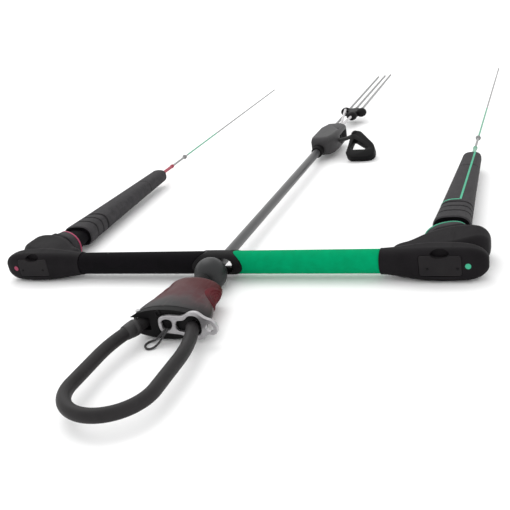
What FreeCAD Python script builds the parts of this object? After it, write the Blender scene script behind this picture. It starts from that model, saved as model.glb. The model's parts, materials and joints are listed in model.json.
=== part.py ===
import FreeCAD, Part
import Sketcher
import math
import os

# Kitesurf control bar, lying flat with its lines pulled tight.
# X runs along the bar, Y along the lines towards the kite, Z up from the floor.
# Everything is drawn about the middle of the bar, then set down on the floor by a Placement.

doc = FreeCAD.newDocument("kite_control_bar")
Vector = FreeCAD.Vector
Rotation = FreeCAD.Rotation

# ---------------------------------------------------------------- driving sizes (mm)

drivingSizes = {
    "fit_gap": 0.05,            # radial gap of a glued or running fit
    "part_gap": 0.35,           # gap between pieces that move past each other
    "bar_height": 18.5,         # bar axis above the floor
    # bar and grips
    "tube_d": 19.0,
    "tube_bore": 16.0,
    "tube_start": 30.5,
    "grip_d": 26.0,
    "cuff_x": 183.0,            # where the grip ends and the bar end begins
    "insert_d": 27.8,
    "insert_half_x": 30.0,      # oval edge between insert and grip
    "insert_half_z": 15.5,
    "spigot_reach": 50.0,
    "slot_half_x": 14.0,        # waist of the slot that the depower tube runs in
    "slot_half_z": 6.7,
    "mouth_half_x": 21.0,
    "mouth_half_z": 11.0,
    # bar ends
    "end_reach": 292.0,
    "end_half_height": 18.1,
    "end_front": 17.2,
    "end_back": 14.0,
    "lobe_depth": 63.0,
    "collar_x": 247.0,
    "collar_y": 53.0,
    "collar_turn": 25.5,        # degrees, the float's base is cut slanted
    "collar_half": 25.5,
    "collar_half_z": 16.8,
    "ring_t": 3.0,
    # adjuster panel in the front face of a bar end
    "panel_x": 245.0,
    "panel_w": 42.0,
    "panel_z": 1.5,
    "panel_h": 22.0,
    "panel_t": 5.0,
    "stem_w": 16.0,
    "stem_h": 6.0,
    "stem_l": 14.0,
    "scoop_half_x": 9.4,
    "scoop_half_z": 4.2,
    "marker_x": 272.0,
    "marker_z": 0.7,
    "marker_d": 6.0,
    "marker_t": 3.0,
    # floats
    "float_x": 245.0,
    "hinge_y": 92.0,            # the float's soft neck bends about this place
    "knuckle_d": 32.0,
    "neck_half_x": 21.0,
    "neck_half_z": 15.0,
    "neck_end_gap": 6.0,
    "seam_y": 277.0,
    "tip_y": 342.0,
    "tip_half_x": 12.6,
    "tip_half_z": 10.0,
    "tip_round": 7.0,
    "stripe_w": 2.4,
    "stripe_x": 4.5,
    "stripe_turn_y": 142.0,
    # steering lines
    "sleeve_d": 5.2,
    "sleeve_end": 386.0,
    "leader_d": 3.4,
    "leader_knot_y": 437.0,
    "knot_d": 6.0,
    "steering_line_d": 2.6,
    "steering_line_end": 935.0,
    # depower tube and swivel
    "depower_d": 12.0,
    "depower_bore": 7.4,
    "depower_start": 22.0,      # below the bar, inside the ball
    "core_rope_d": 6.0,
    "ball_y": 30.0,
    "ball_d": 36.6,
    "shaft_d": 10.0,
    "shaft_top": 37.0,
    "shaft_end": 92.0,
    "head_d": 16.0,
    "head_t": 4.0,
    "bearing_t": 2.0,
    "neck_top": 49.4,
    "neck_d": 22.0,
    # quick release
    "sleeve_top": 67.0,
    "sleeve_bottom": 135.0,
    "sleeve_half_x": 30.5,
    "sleeve_flare": 41.0,
    "sleeve_half_z": 16.0,
    "sleeve_wall": 2.6,
    "release_travel": 12.0,
    "pad_y": 92.0,
    "pad_half_y": 18.0,
    "pad_half_z": 11.5,
    "pad_t": 1.3,
    "flange_end": 142.8,
    "spring_d": 15.0,
    "spring_wire": 1.5,
    # chicken loop
    "loop_d": 13.0,
    "loop_radius": 41.5,
    "loop_centre": 250.5,
    "leg_x": 31.0,
    "leg_y": 150.0,
    "loop_bend": 55.0,          # length of the bend from the leg to the straight side
    "anchor_y": 138.0,
    "anchor_pin_d": 5.0,
    "boot_d": 17.0,
    "boot_start": 148.6,
    "boot_l": 15.0,
    "plate_t": 4.0,
    "catch_pin_d": 7.0,
    "catch_pin_reach": 136.0,
    "eye_x": 47.6,
    "eye_d": 8.4,
    "leash_cord_d": 2.2,
    # trim cleat
    "cleat_start": 424.0,
    "cleat_end": 515.0,
    "cleat_left": 14.0,
    "cleat_right": 27.0,
    "cleat_bottom": 10.0,
    "cleat_top": 20.0,
    "cleat_round": 7.0,
    "cleat_collar_d": 18.0,
    "cleat_collar_l": 14.0,
    "jaw_d": 14.0,
    "jaw_pin_d": 4.0,
    "trim_rope_d": 5.0,
    "trim_rope_x": 5.0,
    "trim_rope_z": 3.0,
    "trim_fork_gap": 37.0,      # from the cleat to the fork in the rope
    # toggle
    "toggle_x": 54.0,
    "toggle_y": 455.0,
    "toggle_z": 13.0,
    "toggle_ball_d": 13.0,
    "toggle_cord_d": 6.0,
    "toggle_l": 42.0,
    "toggle_skew": 18.0,
    "toggle_half_w": 22.0,
    "toggle_t": 11.0,
    "toggle_pitch": 30.0,       # degrees down from level
    "toggle_yaw": -5.0,
    # line spreader and front lines
    "spreader_y": 640.0,
    "spreader_end": 678.0,
    "bead_d": 19.0,
    "front_line_d": 4.0,
    "safety_x": -10.5,
    "front_line_end": 972.0,
}

sheet = doc.addObject("Spreadsheet::Sheet", "sizes")
for row, (alias, value) in enumerate(drivingSizes.items(), start=1):
    sheet.set(f"A{row}", alias)
    sheet.set(f"B{row}", str(value))
    sheet.setAlias(f"B{row}", alias)
doc.recompute()


class Length:
    """A size together with the spreadsheet formula that gives it."""

    def __init__(self, value, formula=None):
        self.value = float(value)
        self.formula = formula or f"({value})"

    def combined(self, other, sign, result):
        other = other if isinstance(other, Length) else Length(other)
        return Length(result(self.value, other.value), f"({self.formula} {sign} {other.formula})")

    def __add__(self, other):
        return self.combined(other, "+", lambda a, b: a + b)

    def __sub__(self, other):
        return self.combined(other, "-", lambda a, b: a - b)

    def __mul__(self, other):
        return self.combined(other, "*", lambda a, b: a * b)

    def __truediv__(self, other):
        return self.combined(other, "/", lambda a, b: a / b)

    def __neg__(self):
        return Length(-self.value, f"(0 - {self.formula})")

    def __float__(self):
        return self.value


class Sizes:
    """size.alias is a Length bound to the sheet, mm.alias is the plain number."""

    def __init__(self, bound):
        for name in drivingSizes:
            number = float(sheet.get(name))
            setattr(self, name, Length(number, f"sizes.{name}") if bound else number)


size = Sizes(bound=True)
mm = Sizes(bound=False)

loopFront = size.loop_centre + size.loop_radius + size.loop_d / 2
frameY = (loopFront - size.spreader_end) / 2

pieces = []


def bind(item, **lengths):
    for name, length in lengths.items():
        item.setExpression(name.replace("__", "."), length.formula)


def setDown(item):
    """Puts a finished piece in the object's own frame and lists it for export."""
    bind(item, Placement__Base__y=frameY, Placement__Base__z=size.bar_height)
    pieces.append(item)
    return item


def feature(label, shape):
    if not shape.Placement.isIdentity():
        shape = Part.makeCompound([shape])
    item = doc.addObject("Part::Feature", label)
    item.Shape = shape
    return setDown(item)


def mirrored(source, label):
    item = doc.addObject("Part::Mirroring", label)
    item.Source = source
    item.Normal = Vector(1, 0, 0)
    pieces.append(item)
    return item


# ---------------------------------------------------------------- sketch helpers

def originPlane(body, role):
    return next(item for item in body.Origin.OriginFeatures if item.Role == role)


def newSketch(body, name, role, offset=None):
    sketch = body.newObject("Sketcher::SketchObject", name)
    sketch.AttachmentSupport = [(originPlane(body, role), "")]
    sketch.MapMode = "FlatFace"
    if offset is not None:
        bind(sketch, AttachmentOffset__Base__z=offset)
    return sketch


def bindConstraint(sketch, kind, *arguments):
    *where, length = arguments
    index = sketch.addConstraint(Sketcher.Constraint(kind, *where, float(length)))
    sketch.setExpression(f"Constraints[{index}]", length.formula)


def addCircle(sketch, diameter, x=Length(0), y=Length(0)):
    centre = Vector(float(x), float(y), 0)
    index = sketch.addGeometry(Part.Circle(centre, Vector(0, 0, 1), float(diameter) / 2))
    bindConstraint(sketch, "Diameter", index, diameter)
    bindConstraint(sketch, "DistanceX", -1, 1, index, 3, x)
    bindConstraint(sketch, "DistanceY", -1, 1, index, 3, y)


def addOutline(sketch, corners):
    """A closed outline of straight edges whose corners are bound to the sheet."""
    points = [Vector(float(x), float(y), 0) for x, y in corners]
    count = len(points)
    first = None
    for place in range(count):
        index = sketch.addGeometry(Part.LineSegment(points[place], points[(place + 1) % count]))
        first = index if first is None else first
        bindConstraint(sketch, "DistanceX", -1, 1, index, 1, corners[place][0])
        bindConstraint(sketch, "DistanceY", -1, 1, index, 1, corners[place][1])
    for place in range(count):
        following = first + (place + 1) % count
        sketch.addConstraint(Sketcher.Constraint("Coincident", first + place, 2, following, 1))


def addPad(body, name, sketch, length, reverse=False):
    pad = body.newObject("PartDesign::Pad", name)
    pad.Profile = sketch
    pad.Reversed = reverse
    bind(pad, Length=length)
    doc.recompute()
    return pad


def addRevolution(body, name, sketch):
    turned = body.newObject("PartDesign::Revolution", name)
    turned.Profile = sketch
    turned.ReferenceAxis = (sketch, ["V_Axis"])
    turned.Angle = 360
    doc.recompute()
    return turned


def turnedPiece(label, outline):
    """A piece turned about the Y axis: outline is (radius, y) pairs, all on one side."""
    body = doc.addObject("PartDesign::Body", label)
    sketch = newSketch(body, label + "_profile", "XY_Plane")
    addOutline(sketch, outline)
    addRevolution(body, label + "_turned", sketch)
    return body


# ---------------------------------------------------------------- shape helpers

def tangentPath(points, closed=False):
    """Straight runs joined by tangent arcs, each as large as its two runs allow."""
    count = len(points)
    corners = range(count) if closed else range(1, count - 1)
    radii = []
    arcs = {}
    for place in corners:
        before = points[place - 1] - points[place]
        after = points[(place + 1) % count] - points[place]
        turn = math.pi - before.getAngle(after)
        cut = 0.45 * min(before.Length, after.Length)
        radii.append(cut / math.tan(turn / 2))
        toStart = Vector(before).normalize() * cut
        toEnd = Vector(after).normalize() * cut
        sag = radii[-1] * (1 / math.cos(turn / 2) - 1)
        middle = points[place] + (toStart + toEnd).normalize() * sag
        arcs[place] = (points[place] + toStart, middle, points[place] + toEnd)
    edges = []
    last = arcs[count - 1][2] if closed else points[0]
    for place in range(count) if closed else range(1, count):
        target = arcs[place][0] if place in arcs else points[place]
        if (target - last).Length > 1e-6:
            edges.append(Part.LineSegment(last, target).toShape())
        if place in arcs:
            edges.append(Part.Arc(*arcs[place]).toShape())
            last = arcs[place][2]
    return edges, radii


def tubeAlong(edges, diameter):
    """A round tube along lines and arcs that follow one another without a kink."""
    runs = []
    for edge in edges:
        start = edge.valueAt(edge.FirstParameter)
        circle = Part.makeCircle(diameter / 2, start, edge.tangentAt(edge.FirstParameter))
        disc = Part.Face(Part.Wire([circle]))
        curve = edge.Curve
        if isinstance(curve, Part.Line):
            runs.append(disc.extrude(edge.valueAt(edge.LastParameter) - start))
        else:
            turn = math.degrees(edge.LastParameter - edge.FirstParameter)
            runs.append(disc.revolve(curve.Center, curve.Axis, turn))
    return runs[0].fuse(runs[1:]).removeSplitter() if len(runs) > 1 else runs[0]


def straightRope(diameter, start, end):
    return Part.makeCylinder(diameter / 2, (end - start).Length, start, end - start)


def roundedSection(centre, across, up, halfAcross, halfUp, corner):
    """A closed section of four straight edges and four corner arcs."""
    corner = min(corner, 0.97 * halfAcross, 0.97 * halfUp)
    edges = []
    previous = None
    for turn in range(4):
        signA, signU = ((1, 1), (-1, 1), (-1, -1), (1, -1))[turn]
        hub = centre + across * (signA * (halfAcross - corner)) + up * (signU * (halfUp - corner))
        first = across * (signA * corner) if turn % 2 == 0 else up * (signU * corner)
        second = up * (signU * corner) if turn % 2 == 0 else across * (signA * corner)
        middle = (first + second) * math.sqrt(0.5)
        arc = Part.Arc(hub + first, hub + middle, hub + second).toShape()
        if previous is None:
            opening = hub + first
        else:
            edges.append(Part.LineSegment(previous, hub + first).toShape())
        edges.append(arc)
        previous = hub + second
    edges.append(Part.LineSegment(previous, opening).toShape())
    return Part.Wire(edges)


def loft(sections):
    return Part.makeLoft(sections, True, False)


def ovalPrism(centre, halfX, halfZ, frontY, backY):
    """An oval in the XZ plane drawn out along Y."""
    major, minor = max(halfX, halfZ), min(halfX, halfZ)
    oval = Part.Ellipse(Vector(0, 0, 0), major, minor).toShape()
    if halfZ > halfX:
        oval.rotate(Vector(0, 0, 0), Vector(0, 0, 1), 90)
    oval.rotate(Vector(0, 0, 0), Vector(1, 0, 0), 90)
    oval.translate(Vector(centre.x, frontY, centre.z))
    return Part.Face(Part.Wire([oval])).extrude(Vector(0, backY - frontY, 0))


def block(left, right, front, back, low, high):
    return Part.makeBox(right - left, back - front, high - low, Vector(left, front, low))


def along(start, end, share):
    return start + (end - start) * share


alongX = Vector(1, 0, 0)
alongY = Vector(0, 1, 0)
alongZ = Vector(0, 0, 1)


# ---------------------------------------------------------------- bar, grips and centre insert

def makeBarTube():
    body = doc.addObject("PartDesign::Body", "bar_tube_right")
    sketch = newSketch(body, "bar_tube_section", "YZ_Plane", size.tube_start)
    addCircle(sketch, size.tube_d)
    addCircle(sketch, size.tube_bore)
    addPad(body, "bar_tube_length", sketch, size.panel_x - size.tube_start - size.panel_w)
    return setDown(body)


def insertEdge(margin):
    return ovalPrism(Vector(), mm.insert_half_x + margin, mm.insert_half_z + margin, -40, 40)


def makeGrip():
    length = mm.cuff_x - mm.part_gap / 2
    outer = Part.makeCylinder(mm.grip_d / 2, length, Vector(), alongX)
    bore = Part.makeCylinder(mm.tube_d / 2 + mm.fit_gap, length, Vector(), alongX)
    return feature("grip_right", outer.cut(bore).cut(insertEdge(0.2)))


def makeInsert():
    """Moulded middle of the bar with the flared slot that the depower tube runs in."""
    half = mm.insert_half_x + 1
    barrel = Part.makeCylinder(mm.insert_d / 2, 2 * half, Vector(-half, 0, 0), alongX)
    hubHalf = mm.tube_start - 0.2
    hub = Part.makeCylinder(mm.tube_d / 2 - 0.1, 2 * hubHalf, Vector(-hubHalf, 0, 0), alongX)
    spigotD = mm.tube_bore / 2 - mm.fit_gap
    spigot = Part.makeCylinder(spigotD, 2 * mm.spigot_reach, Vector(-mm.spigot_reach, 0, 0), alongX)
    mouthY = mm.insert_d / 2 + 1

    def slotSection(y, halfX, halfZ):
        return roundedSection(Vector(0, y, 0), alongX, alongZ, halfX, halfZ, halfZ)

    slot = loft([
        slotSection(-mouthY, mm.mouth_half_x, mm.mouth_half_z),
        slotSection(-mouthY / 2, along(mm.slot_half_x, mm.mouth_half_x, 0.3),
                    along(mm.slot_half_z, mm.mouth_half_z, 0.3)),
        slotSection(0, mm.slot_half_x, mm.slot_half_z),
        slotSection(mouthY / 2, along(mm.slot_half_x, mm.mouth_half_x, 0.3),
                    along(mm.slot_half_z, mm.mouth_half_z, 0.3)),
        slotSection(mouthY, mm.mouth_half_x, mm.mouth_half_z),
    ])
    body = barrel.common(insertEdge(0)).fuse([hub, spigot]).removeSplitter()
    return feature("centre_insert", body.cut(slot))


# ---------------------------------------------------------------- bar ends

def endSection(share, front, back, height, corner=0.62):
    """One upright section of a bar end, share of the way from the cuff to the tip."""
    x = along(mm.cuff_x, mm.end_reach, share)
    half = (back - front) / 2
    centre = Vector(x, (back + front) / 2, 0)
    return roundedSection(centre, alongY, alongZ, half, height, corner * min(half, height))


def makeHorn():
    front, back, height = mm.end_front, mm.end_back, mm.end_half_height
    cuff = mm.grip_d / 2 + 0.6
    return loft([
        endSection(0.0, -cuff, cuff, cuff, 0.95),
        endSection(0.20, -0.90 * front, back, 0.86 * height, 0.85),
        endSection(0.385, -0.99 * front, back, 0.97 * height, 0.7),
        endSection(0.66, -front, 0.93 * back, height, 0.66),
        endSection(0.84, -0.90 * front, 0.70 * back, 0.93 * height, 0.72),
        endSection(0.945, -0.70 * front, 0.40 * back, 0.68 * height, 0.85),
        endSection(0.99, -0.45 * front, 0.10 * back, 0.34 * height, 0.95),
    ])


def makeLobe():
    depth, height = mm.lobe_depth, 0.97 * mm.end_half_height
    return loft([
        endSection(0.10, -0.10 * depth, 0.235 * depth, 0.62 * height, 0.9),
        endSection(0.22, -0.10 * depth, 0.43 * depth, 0.80 * height, 0.85),
        endSection(0.385, -0.10 * depth, 0.68 * depth, 0.95 * height, 0.85),
        endSection(0.59, -0.10 * depth, 0.93 * depth, height, 0.85),
        endSection(0.78, 0.06 * depth, depth, height, 0.85),
        endSection(0.90, 0.24 * depth, 0.96 * depth, 0.88 * height, 0.9),
        endSection(0.955, 0.36 * depth, 0.86 * depth, 0.64 * height, 0.95),
        endSection(0.978, 0.48 * depth, 0.74 * depth, 0.34 * height, 0.95),
    ])


collarTurn = math.radians(mm.collar_turn)
collarAcross = Vector(math.cos(collarTurn), math.sin(collarTurn), 0)
collarOut = Vector(-math.sin(collarTurn), math.cos(collarTurn), 0)


def collarSection(offset, margin=0.0):
    centre = Vector(mm.collar_x, mm.collar_y, 0) + collarOut * offset
    return roundedSection(centre, collarAcross, alongZ, mm.collar_half + margin,
                          mm.collar_half_z + margin, mm.collar_half_z)


def panelBlock(margin, front, back):
    """The adjuster panel's outline as a block with rounded corners."""
    centre = Vector(mm.panel_x, front, mm.panel_z)
    face = Part.Face(roundedSection(centre, alongX, alongZ, mm.panel_w / 2 + margin,
                                    mm.panel_h / 2 + margin, 3 + margin))
    return face.extrude(Vector(0, back - front, 0))


def scoop():
    centre = Vector(mm.panel_x, 0, mm.panel_z + mm.panel_h / 2 + 1.2)
    return ovalPrism(centre, mm.scoop_half_x, mm.scoop_half_z, -mm.end_front - 4, -mm.end_front + 7)


def panelFace():
    return -mm.end_front - 0.2


def makeBarEnd():
    horn, lobe = makeHorn(), makeLobe()
    socket = loft([collarSection(-16, -5), collarSection(-6, -0.5), collarSection(0)])
    behind = Part.makeBox(200, 60, 100, Vector(-100, 0, -50))
    behind.rotate(Vector(), alongZ, mm.collar_turn)
    behind.translate(Vector(mm.collar_x, mm.collar_y, 0))
    body = horn.fuse([lobe, socket]).removeSplitter().cut(behind)
    bore = Part.makeCylinder(mm.tube_d / 2 + mm.fit_gap, mm.panel_x - mm.panel_w - mm.cuff_x + 1,
                             Vector(mm.cuff_x - 1, 0, 0), alongX)
    pocketBack = panelFace() + mm.panel_t + mm.part_gap
    stemHalf = mm.stem_w / 2 + mm.part_gap
    stemSlot = block(mm.panel_x - stemHalf, mm.panel_x + stemHalf, pocketBack - 1,
                     pocketBack + mm.stem_l + 0.5, mm.panel_z - mm.stem_h / 2 - mm.part_gap,
                     mm.panel_z + mm.stem_h / 2 + mm.part_gap)
    marker = Part.makeCylinder(mm.marker_d / 2 + mm.fit_gap, 10,
                               Vector(mm.marker_x, markerBack(), mm.marker_z), -alongY)
    cuts = [bore, panelBlock(mm.part_gap, -mm.end_front - 5, pocketBack), stemSlot, scoop(), marker]
    for tool in cuts:
        body = body.cut(tool)
    return feature("bar_end_right", body)


def makePanel():
    panel = panelBlock(0, panelFace(), panelFace() + mm.panel_t)
    edges = [edge for edge in panel.Edges if abs(edge.CenterOfMass.y - panelFace()) < 0.01]
    panel = panel.makeFillet(1.0, edges)
    stem = block(mm.panel_x - mm.stem_w / 2, mm.panel_x + mm.stem_w / 2,
                 panelFace() + mm.panel_t - 0.5, panelFace() + mm.panel_t + mm.stem_l,
                 mm.panel_z - mm.stem_h / 2, mm.panel_z + mm.stem_h / 2)
    return feature("adjuster_right", panel.cut(scoop()).fuse(stem).removeSplitter())


def markerBack():
    return -mm.end_front * 0.9 + mm.marker_t - 0.3


def makeMarker():
    start = Vector(mm.marker_x, markerBack(), mm.marker_z)
    disc = Part.makeCylinder(mm.marker_d / 2, mm.marker_t, start, -alongY)
    return feature("marker_right", disc)


# ---------------------------------------------------------------- floats

def floatSection(y, halfX, halfZ, corner=0.72):
    return roundedSection(Vector(mm.float_x, y, 0), alongX, alongZ, halfX, halfZ,
                          corner * min(halfX, halfZ))


def knuckle(margin):
    height = 2 * (mm.neck_half_z - 3 + margin)
    start = Vector(mm.float_x, mm.hinge_y, -height / 2)
    return Part.makeCylinder(mm.knuckle_d / 2 + margin, height, start, alongZ)


def makeRing():
    ring = loft([collarSection(0.2, 0.3), collarSection(mm.ring_t, 0.3)])
    return feature("float_ring_right", ring)


def makeNeck():
    end = mm.hinge_y - mm.neck_end_gap
    neck = loft([
        collarSection(mm.ring_t + 0.2, -0.8),
        floatSection(end, mm.neck_half_x, mm.neck_half_z, 0.95),
    ])
    return feature("float_neck_right", neck.fuse(knuckle(0)).removeSplitter())


def floatHalf(y):
    """Half width and half thickness of the float at y: a long taper from neck to tip."""
    share = (y - mm.hinge_y) / (mm.tip_y - 12 - mm.hinge_y)
    halfX = along(mm.neck_half_x, mm.tip_half_x, share ** 0.85)
    halfZ = along(mm.neck_half_z - 0.8, mm.tip_half_z, share ** 0.85)
    return halfX, halfZ


def floatLoft(margin, start, end, steps):
    sections = []
    for step in range(steps + 1):
        y = along(start, end, step / steps)
        halfX, halfZ = floatHalf(y)
        sections.append(floatSection(y, halfX + margin, halfZ + margin))
    return loft(sections)


def tipLoft(margin):
    """End cap of the float: a short taper that rounds over in narrow bands."""
    start, end = mm.seam_y + 0.2, mm.tip_y
    halfX, halfZ = floatHalf(mm.seam_y)
    sections = [floatSection(start, halfX + margin, halfZ + margin)]
    roundY = end - mm.tip_round
    for step in range(5):
        turn = math.pi / 2 * step / 4.6
        inset = mm.tip_round * (1 - math.cos(turn))
        y = roundY + mm.tip_round * math.sin(turn)
        sections.append(floatSection(y, mm.tip_half_x - inset + margin, mm.tip_half_z - inset + margin, 0.9))
    return Part.makeLoft(sections, True, True)


def groove(y, width, depth):
    """A ring that cuts a groove round the float."""
    slab = block(mm.float_x - 40, mm.float_x + 40, y - width / 2, y + width / 2, -40, 40)
    return slab.cut(floatLoft(-depth, mm.hinge_y, mm.seam_y, 4))


def stripeBand(margin):
    """The coloured inlay: along the top of the float, then across it above the neck."""
    half = mm.stripe_w / 2 + margin
    middle = mm.float_x + mm.stripe_x
    lengthwise = block(middle - half, middle + half, mm.stripe_turn_y - half, mm.tip_y - 6, 0, 40)
    across = block(mm.float_x - 40, middle + half, mm.stripe_turn_y - half,
                   mm.stripe_turn_y + half, 0, 40)
    return lengthwise.fuse(across).removeSplitter()


def makeFloat():
    body = floatLoft(0, mm.hinge_y, mm.seam_y - 0.2, 5).cut(knuckle(mm.part_gap))
    for y, width, depth in ((108, 2.0, 1.6), (118, 2.0, 1.6), (130, 3.2, 2.4)):
        body = body.cut(groove(y, width, depth))
    return body


def makeFloats():
    body, tip = makeFloat(), tipLoft(0)
    bore = Part.makeCylinder(mm.sleeve_d / 2 + mm.fit_gap, 30, Vector(mm.float_x, mm.tip_y - 20, 0), alongY)
    tip = tip.cut(bore)
    mirrored(feature("float_spare", body), "float_left")
    mirrored(feature("float_tip_spare", tip), "float_tip_left")
    skin = floatLoft(0.3, mm.hinge_y, mm.seam_y, 5).fuse(tipLoft(0.3))
    inner = floatLoft(-0.7, mm.hinge_y, mm.seam_y, 5).fuse(tipLoft(-0.7))
    stripe = skin.cut(inner).common(stripeBand(0))
    feature("float_stripe_right", stripe)
    pocket = stripeBand(0.02).cut(inner)
    feature("float_right", body.cut(pocket))
    feature("float_tip_right", tip.cut(pocket))


# ---------------------------------------------------------------- steering lines

def knotShape(centre, diameter):
    """A tied knot as one lump, a little longer than wide."""
    lump = Part.makeSphere(diameter / 2)
    stretched = FreeCAD.Matrix()
    stretched.scale(Vector(1, 1.35, 1))
    lump = lump.transformGeometry(stretched)
    lump.translate(centre)
    return lump


def knottedLine(diameter, start, end):
    """A straight taut line that ends in a tied knot."""
    back = (start - end).normalize()
    centre = end + back * (0.68 * mm.knot_d)
    return straightRope(diameter, start, end + back * 2).fuse(knotShape(centre, mm.knot_d))


def makeSteeringLines():
    x = mm.float_x
    start = Vector(x, mm.tip_y - 19, 0)
    knot = Vector(x, mm.leader_knot_y, 0)
    end = Vector(x, mm.steering_line_end, 0)
    bore = straightRope(mm.leader_d + 2 * mm.fit_gap, start - alongY, Vector(x, mm.sleeve_end + 1, 0))
    sleeve = straightRope(mm.sleeve_d, start, Vector(x, mm.sleeve_end, 0)).cut(bore)
    for name, shape in (
        ("leader_sleeve", sleeve),
        ("leader", knottedLine(mm.leader_d, start, knot)),
        ("steering_line", knottedLine(mm.steering_line_d, knot, end)),
    ):
        mirrored(feature(name + "_right", shape), name + "_left")


# ---------------------------------------------------------------- depower line and swivel

def makeDepowerTube():
    body = doc.addObject("PartDesign::Body", "depower_tube")
    sketch = newSketch(body, "depower_section", "XZ_Plane", size.depower_start)
    addCircle(sketch, size.depower_d)
    addCircle(sketch, size.depower_bore)
    length = size.depower_start + size.cleat_start + size.cleat_collar_l / 2
    addPad(body, "depower_length", sketch, length, reverse=True)
    return setDown(body)


def makeCoreRope():
    start = Vector(0, -mm.depower_start, 0)
    return feature("core_rope", straightRope(mm.core_rope_d, start, Vector(0, mm.cleat_start + 20, 0)))


def makeBall():
    centre = Vector(0, -mm.ball_y, 0)
    ball = Part.makeSphere(mm.ball_d / 2, centre)
    seatStart = Vector(0, -mm.depower_start - 0.1, 0)
    seat = Part.makeCylinder(mm.depower_d / 2 + mm.fit_gap, 30, seatStart, alongY)
    through = Part.makeCylinder(mm.core_rope_d / 2 + 0.3, 2 * mm.ball_d, centre - alongY * mm.ball_d, alongY)
    shaftHole = Part.makeCylinder(mm.shaft_d / 2 + mm.fit_gap, 30, Vector(0, -mm.shaft_top, 0), -alongY)
    return feature("swivel_ball", ball.cut(seat).cut(through).cut(shaftHole))


def makeShaft():
    radius, head = size.shaft_d / 2, size.head_d / 2
    under = -size.shaft_end + size.head_t
    zero = Length(0)
    return setDown(turnedPiece("swivel_shaft", [
        (zero, -size.shaft_top), (zero, -size.shaft_end), (head, -size.shaft_end), (head, under),
        (radius, under), (radius, -size.shaft_top)]))


def makeBearing():
    inner = size.shaft_d / 2 + size.fit_gap * 2
    outer = size.head_d / 2
    top = -size.shaft_end + size.head_t + size.bearing_t + size.part_gap
    low = top - size.bearing_t
    return setDown(turnedPiece("swivel_bearing", [(inner, low), (outer, low), (outer, top), (inner, top)]))


def makeNeckCollar():
    inner = size.shaft_d / 2 + size.part_gap
    outer = size.neck_d / 2
    low = -size.sleeve_top - size.sleeve_wall - size.part_gap * 2
    return setDown(turnedPiece("swivel_neck", [
        (inner, -size.neck_top), (inner, low), (outer + 1.5, low), (outer, -size.neck_top - 4),
        (outer - 2, -size.neck_top)]))


# ---------------------------------------------------------------- quick release

def sleeveLoft(margin, top, bottom, zMargin=None):
    """The flared oval body of the release between two heights."""
    zMargin = margin if zMargin is None else zMargin
    sections = []
    span = mm.sleeve_bottom - mm.sleeve_top
    for step in range(6):
        y = along(top, bottom, step / 5)
        share = max(0.0, (y - mm.sleeve_top) / span)
        flare = max(0.0, (share - 0.3) / 0.7) ** 1.6
        halfX = along(mm.sleeve_half_x, mm.sleeve_flare, flare) + margin
        halfZ = mm.sleeve_half_z + 0.4 * share + zMargin
        oval = Part.Ellipse(Vector(), halfX, halfZ).toShape()
        oval.rotate(Vector(), alongX, 90)
        oval.translate(Vector(0, -y, 0))
        sections.append(Part.Wire([oval]))
    return loft(sections)


def makeReleaseSleeve():
    outer = sleeveLoft(0, mm.sleeve_top, mm.sleeve_bottom)
    inner = sleeveLoft(-mm.sleeve_wall, mm.sleeve_top + mm.sleeve_wall, mm.sleeve_bottom + 1)
    neckHole = Part.makeCylinder(mm.neck_d / 2 + 1.5 + mm.part_gap * 2, 20,
                                 Vector(0, -mm.sleeve_top + 5, 0), -alongY)
    return feature("release_sleeve", outer.cut(inner).cut(neckHole))


def padOval(share):
    """An oval, share of the thumb pad's size, drawn out along X."""
    oval = Part.Ellipse(Vector(), mm.pad_half_y * share, mm.pad_half_z * share).toShape()
    solid = Part.Face(Part.Wire([oval])).extrude(Vector(0, 0, 80))
    solid.rotate(Vector(), alongZ, 90)
    solid.rotate(Vector(), alongY, 90)
    solid.translate(Vector(0, -mm.pad_y, 0))
    return solid


def makeThumbPad():
    """Ribbed oval pad that follows the side of the sleeve."""
    top, bottom = mm.sleeve_top, mm.sleeve_bottom
    below = sleeveLoft(0.02, top, bottom)
    base = sleeveLoft(mm.pad_t * 0.4, top, bottom)
    pad = padOval(1).common(sleeveLoft(mm.pad_t, top, bottom)).cut(below)
    for outer, inner in ((0.90, 0.74), (0.60, 0.42)):
        pad = pad.cut(padOval(outer).cut(padOval(inner)).cut(base))
    return feature("thumb_pad_right", pad)


def makeReleaseCore():
    gap = mm.sleeve_wall + 0.4
    top = mm.sleeve_top + mm.sleeve_wall + 0.7
    inner = sleeveLoft(-gap, top, mm.sleeve_bottom + 1)
    flangeTop = mm.sleeve_bottom + 0.5
    flange = sleeveLoft(-0.3, flangeTop, mm.flange_end)
    body = inner.fuse(flange).removeSplitter()
    shaftBore = Part.makeCylinder(mm.shaft_d / 2 + mm.fit_gap, 30, Vector(0, -top + 1, 0), -alongY)
    headTop = mm.shaft_end - mm.head_t - mm.bearing_t - mm.part_gap - 0.05
    headRoom = Part.makeCylinder(mm.head_d / 2 + mm.part_gap, mm.flange_end - headTop - 8,
                                 Vector(0, -headTop, 0), -alongY)
    slotHalf = mm.loop_d / 2 + mm.part_gap
    anchorSlot = block(-60, -mm.leg_x + mm.loop_d, -mm.flange_end - 1,
                       -mm.anchor_y + mm.loop_d / 2 + 1, -slotHalf, slotHalf)
    pinHole = Part.makeCylinder(mm.anchor_pin_d / 2 + mm.fit_gap, 60, anchorCentre() - alongZ * 30, alongZ)
    catchHole = Part.makeCylinder(mm.catch_pin_d / 2 + 1.6, mm.flange_end - mm.catch_pin_reach + 2,
                                  Vector(mm.leg_x - 0.8, -mm.flange_end - 0.5, 0), alongY)
    for tool in (shaftBore, headRoom, anchorSlot, pinHole, catchHole):
        body = body.cut(tool)
    return feature("release_core", body)


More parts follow.
